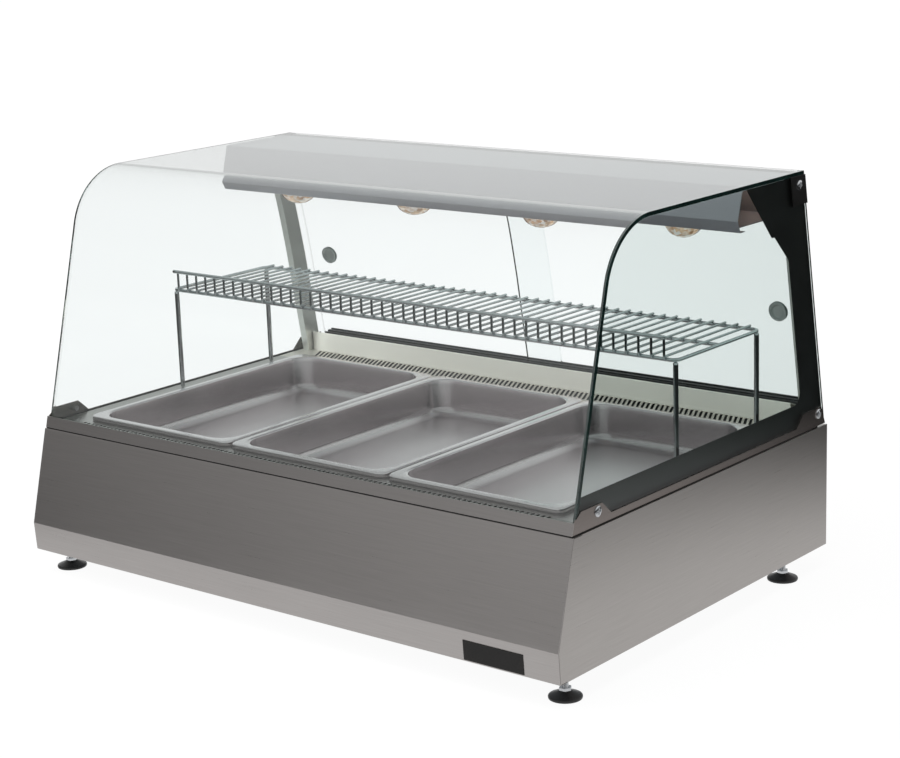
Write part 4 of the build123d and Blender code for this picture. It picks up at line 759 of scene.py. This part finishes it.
# Thermostat knob: fluted skirt, dished face and a raised white pointer
knob = {
    "x": 295, "y": 351.5, "z": 95, "flutes": 24, "fluteDepth": 0.035, "sides": 192, "ticks": 7, "sweep": 270,
    "profile": [(0, 12.5), (8, 12.8), (14, 13.8), (17.5, 15.4), (19, 15.95), (20.2, 15.8), (21.3, 14.6), (21.9, 12.5),
                (22.3, 8), (22.7, 4), (22.9, 1.2), (22.6, 0.2), (21.8, 0), (7, 0), (6.6, 0.4), (6.6, 3.4), (3.1, 3.5),
                (3.1, 11.8), (0, 12)],
    "pointer": (6, 18.5, 1.8), "pointerRise": (12.2, 15.98), "pointerEdge": 0.2, "startAngle": 225,
    "skirtRadius": 19, "skirtTop": 13.5, "skirtFade": 2, "crease": 50,
}


# Flutes: the skirt's radius dips by a cosine of the angle, and not on the face
def fluteRadius(angle, height, radius):
    skirt = np.clip((radius - knob["skirtRadius"]) / knob["skirtFade"], 0, 1)
    skirt = skirt * np.clip((knob["skirtTop"] - height) / knob["skirtFade"], 0, 1)
    return 1 - knob["fluteDepth"] * skirt * (0.5 - 0.5 * np.cos(knob["flutes"] * angle))


# Flat bar on a rear-facing plane: between two radii at an angle seen from behind, with a width, and a base and a top
# along Y
def rearBar(spot, angle, inner, outer, width, base, top):
    along = np.array([-math.cos(angle), 0, math.sin(angle)])
    across = np.array([-math.sin(angle), 0, -math.cos(angle)])
    square = [(inner, -width / 2), (outer, -width / 2), (outer, width / 2), (inner, width / 2)]
    flat = np.array([spot + along * a + across * b for a, b in square])
    return np.concatenate([flat + (0, base, 0), flat + (0, top, 0)]), gridFaces(2, 4)


dialAngle = np.radians(knob["startAngle"] - np.arange(knob["ticks"]) * knob["sweep"] / (knob["ticks"] - 1))
knobForm = turnedForm(knob["profile"], (knob["x"], knob["y"], knob["z"]), (0, 1, 0), knob["sides"], fluteRadius)
makePiece("thermostatKnobFluted", knobForm, blackAbs, "thermostat_dial", ["thermostat_knob"],
          crease=knob["crease"])
knobSpot = np.array([knob["x"], 0, knob["z"]])
pointerBase, pointerTop = (knob["y"] + rise for rise in knob["pointerRise"])
pointer = rearBar(knobSpot, dialAngle[0], *knob["pointer"], pointerBase, pointerTop)
makePiece("knobPointer", pointer, printedWhite, "thermostat_dial", [], edge=knob["pointerEdge"])

# Dial printed on the rear panel: ticks and plain numbers round the knob
dial = {
    "panelY": 350, "print": 0.12, "sunk": 0.05, "tickIn": 26, "tickOut": 29.5, "tickWidth": 0.9, "numberAt": 34.5,
    "numberSize": 6,
}
ticks = [rearBar(knobSpot, angle, dial["tickIn"], dial["tickOut"], dial["tickWidth"],
                 dial["panelY"] - dial["sunk"], dial["panelY"] + dial["print"]) for angle in dialAngle]
for number, angle in enumerate(dialAngle):
    glyph = bpy.data.curves.new("dialNumber", "FONT")
    glyph.body = str(number)
    glyph.size = dial["numberSize"]
    glyph.align_x, glyph.align_y = "CENTER", "CENTER"
    glyph.extrude = dial["print"] / 2
    glyphObject = bpy.data.objects.new("dialNumber", glyph)
    flat = bpy.data.meshes.new_from_object(glyphObject)
    spots = np.empty(len(flat.vertices) * 3)
    flat.vertices.foreach_get("co", spots)
    spots = spots.reshape(-1, 3)
    middleX = knob["x"] - math.cos(angle) * dial["numberAt"]
    middleZ = knob["z"] + math.sin(angle) * dial["numberAt"]
    placed = np.column_stack([middleX - spots[:, 0], dial["panelY"] + dial["print"] / 2 + spots[:, 2],
                              middleZ + spots[:, 1]])
    ticks.append((placed, [list(face.vertices) for face in flat.polygons]))
    bpy.data.objects.remove(glyphObject)
    bpy.data.curves.remove(glyph)
    bpy.data.meshes.remove(flat)
makePiece("dialPrint", joinShells(ticks), printedBlack, "cabinet", [])

# Rocker marks: a bar for on and a ring for off, raised a hair from the two faces of each tilted rocker
rocker = {
    "places": {"heat": 185, "lamp": 145}, "pivotY": 346, "z": 95, "tilt": 9, "slope": 1.5 / 11, "middle": 7.0,
    "markAt": 6, "barHalf": (0.5, 2.4), "ringRadii": (2.4, 1.6), "sunk": -0.2, "proud": 0.15, "ringSides": 32,
}


# Rocker's own plane to the frame: reach out from its pivot and up its face, turned about X by the tilt
def rockerPoints(x, across, reach, up):
    tilt = math.radians(rocker["tilt"])
    y = rocker["pivotY"] + reach * math.cos(tilt) - up * math.sin(tilt)
    return np.column_stack([x + across, y, rocker["z"] + reach * math.sin(tilt) + up * math.cos(tilt)])


# Mark on a rocker face: a closed outline a little below the face and again a little proud of it, and where there is
# an inner outline, back down along that
def rockerMark(x, outline, inner=None):
    rows = [(outline, rocker["sunk"]), (outline, rocker["proud"])]
    if inner is not None:
        rows += [(inner, rocker["proud"]), (inner, rocker["sunk"])]
    points = [rockerPoints(x, across, rocker["middle"] + np.abs(up) * rocker["slope"] + lift, up)
              for (across, up), lift in rows]
    hollow = inner is not None
    return np.concatenate(points), gridFaces(len(rows), len(outline[0]), wrapRows=hollow, capped=not hollow)


turn = np.linspace(0, 2 * math.pi, rocker["ringSides"], endpoint=False)
halfX, halfZ = rocker["barHalf"]
barLine = (np.array([-halfX, halfX, halfX, -halfX]), rocker["markAt"] + np.array([-halfZ, -halfZ, halfZ, halfZ]))
ringLines = [(radius * np.cos(turn), radius * np.sin(turn) - rocker["markAt"]) for radius in rocker["ringRadii"]]
for name, x in rocker["places"].items():
    marks = joinShells([rockerMark(x, barLine), rockerMark(x, *ringLines)])
    makePiece(name + "RockerMarks", marks, printedWhite, name + "_switch", [])
print("controls made")

# Camera at the photograph's angle, taken for a 900 x 758 image
shot = {
    "azimuth": 39.3, "elevation": 13.9, "roll": -2.0, "focal": 2139.4, "imageWidth": 900, "distance": 3.504,
    "target": (0.0502, 0.02075, 0.3317), "sensor": 36, "clipEnd": 200,
}
azimuth, elevation, roll = (math.radians(shot[key]) for key in ("azimuth", "elevation", "roll"))
back = Vector((math.sin(azimuth) * math.cos(elevation), -math.cos(azimuth) * math.cos(elevation), math.sin(elevation)))
right = Vector((math.cos(azimuth), math.sin(azimuth), 0))
up = back.cross(right)
right, up = right * math.cos(roll) + up * math.sin(roll), up * math.cos(roll) - right * math.sin(roll)
camera = bpy.data.objects.new("photoCamera", bpy.data.cameras.new("photoCamera"))
camera.data.sensor_width = shot["sensor"]
camera.data.lens = shot["focal"] / shot["imageWidth"] * shot["sensor"]
camera.data.clip_end = shot["clipEnd"]
stand = Matrix.Translation(Vector(shot["target"]) + back * shot["distance"])
camera.matrix_world = stand @ Matrix((right, up, back)).transposed().to_4x4()
bpy.context.scene.collection.objects.link(camera)
bpy.context.scene.camera = camera


# 1 for what the camera sees directly or straight through glass, and 0 where anything on the way mirrored the ray
def seenStraight(tree, rays):
    straight = addNode(tree, "Math", {"operation": "SUBTRACT", "use_clamp": True, 0: 1.0},
                       {1: (rays, "Glossy Depth")})
    through = addNode(tree, "Math", {"operation": "MULTIPLY"},
                      {0: (rays, "Is Transmission Ray"), 1: (straight, "Value")})
    return addNode(tree, "Math", {"operation": "MAXIMUM"},
                   {0: (rays, "Is Camera Ray"), 1: (through, "Value")})


# White floor: the camera and glass see it nearly white, with the object's soft shadow left in it.
# Metal mirrors it brightly close to the object and less further off, where a studio's sweep falls dark.
floorLook = {
    "size": 80, "colour": "#f1f1f0", "glow": 0.94, "whiteFrom": 0.9, "whiteTo": 2.0,
    "near": 0.7, "far": 1.65, "mirrored": 0.86, "faded": 0.02,
}
floorMesh = bpy.data.meshes.new("floor")
half = floorLook["size"] / 2
floorMesh.from_pydata([(-half, -half, 0), (half, -half, 0), (half, half, 0), (-half, half, 0)], [], [(0, 1, 2, 3)])
floor = bpy.data.objects.new("floor", floorMesh)
bpy.context.scene.collection.objects.link(floor)
floorPaint = bpy.data.materials.new("MattWhiteFloor")
floorPaint.use_nodes = True
tree = floorPaint.node_tree
tree.nodes.clear()
rays = addNode(tree, "LightPath")
seen = seenStraight(tree, rays)
bounced = addNode(tree, "Math", {"operation": "MAXIMUM"},
                  {0: (rays, "Is Glossy Ray"), 1: (rays, "Is Transmission Ray")})
mirrored = addNode(tree, "Math", {"operation": "SUBTRACT", "use_clamp": True},
                   {0: (bounced, "Value"), 1: (seen, "Value")})
place = addNode(tree, "TexCoord")
away = addNode(tree, "VectorMath", {"operation": "LENGTH"}, {0: (place, "Object")})
fading = addNode(tree, "MapRange",
                 {"interpolation_type": "SMOOTHSTEP", "From Min": floorLook["near"], "From Max": floorLook["far"],
                  "To Min": floorLook["mirrored"], "To Max": floorLook["faded"]}, {"Value": (away, "Value")})
whiter = addNode(tree, "MapRange",
                 {"From Min": floorLook["whiteFrom"], "From Max": floorLook["whiteTo"], "To Min": 1.0,
                  "To Max": 1 / floorLook["glow"]}, {"Value": (away, "Value")})
level = addNode(tree, "MapRange", None,
                {"Value": (mirrored, "Value"), "To Min": (whiter, "Result"), "To Max": (fading, "Result")})
share = addNode(tree, "Math", {"operation": "MULTIPLY_ADD", 1: floorLook["glow"]},
                {0: (seen, "Value"), 2: (mirrored, "Value")})
matt = addNode(tree, "BsdfDiffuse", {"Color": hexToLinear(floorLook["colour"])})
glow = addNode(tree, "Emission", {"Color": (1, 1, 1, 1)}, {"Strength": (level, "Result")})
mix = addNode(tree, "MixShader", None, {0: (share, "Value"), 1: (matt, "BSDF"), 2: (glow, "Emission")})
addNode(tree, "OutputMaterial", None, {"Surface": (mix, "Shader")})
floorMesh.materials.append(floorPaint)

# Studio: white for the camera and straight through glass. Mirror images, in metal or inside a sheet of glass, show a
# dim room in front and a pale wall behind and above.
studio = {
    "wall": [(0.0, "#404040"), (0.32, "#d2d2d2"), (1.0, "#cecece")], "wallX": (-0.85, 0.1),
    "rear": "#ececec", "rearY": (-0.15, 0.35), "ceiling": "#c0c0c0", "ceilingZ": (0.3, 0.8),
}
world = bpy.data.worlds.new("studio")
bpy.context.scene.world = world
world.use_nodes = True
tree = world.node_tree
tree.nodes.clear()
place = addNode(tree, "TexCoord")
axes = addNode(tree, "SeparateXYZ", None, {"Vector": (place, "Generated")})
across, rearward, upward = (
    addNode(tree, "MapRange", {"From Min": studio[key][0], "From Max": studio[key][1]},
            {"Value": (axes, key[-1])}) for key in ("wallX", "rearY", "ceilingZ"))
wall = addNode(tree, "ValToRGB", None, {"Fac": (across, "Result")})
setRamp(wall, studio["wall"])
behind = addNode(tree, "Mix", {"data_type": "RGBA", 7: hexToLinear(studio["rear"])},
                 {0: (rearward, "Result"), 6: (wall, "Color")})
ceiling = addNode(tree, "Mix", {"data_type": "RGBA", 7: hexToLinear(studio["ceiling"])},
                  {0: (upward, "Result"), 6: (behind, 2)})
room = addNode(tree, "Background", {"Strength": 1.0}, {"Color": (ceiling, 2)})
white = addNode(tree, "Background", {"Color": (1, 1, 1, 1), "Strength": 1.0})
seen = seenStraight(tree, addNode(tree, "LightPath"))
mix = addNode(tree, "MixShader", None,
              {0: (seen, "Value"), 1: (room, "Background"), 2: (white, "Background")})
addNode(tree, "OutputWorld", None, {"Surface": (mix, "Shader")})

# Soft lamps: a broad one overhead and another at the front left. The room's own tones do the mirroring.
lights = {
    "overheadSoftbox": {"size": (2.6, 1.8), "at": (0.2, -0.5, 2.6), "aim": (0, 0, 0.3), "power": 80},
    "leftSoftbox": {"size": (1.4, 1.6), "at": (-2.2, -2.0, 1.8), "aim": (0, 0, 0.3), "power": 80},
}
for name, look in lights.items():
    lightData = bpy.data.lights.new(name, "AREA")
    lightData.shape = "RECTANGLE"
    lightData.size, lightData.size_y = look["size"]
    lightData.energy = look["power"]
    light = bpy.data.objects.new(name, lightData)
    light.location = look["at"]
    light.visible_glossy = False
    light.visible_transmission = False
    light.rotation_euler = (Vector(look["aim"]) - Vector(look["at"])).to_track_quat("-Z", "Y").to_euler()
    bpy.context.scene.collection.objects.link(light)
bpy.context.scene.view_settings.view_transform = "Standard"
print("camera, floor and lamps placed")
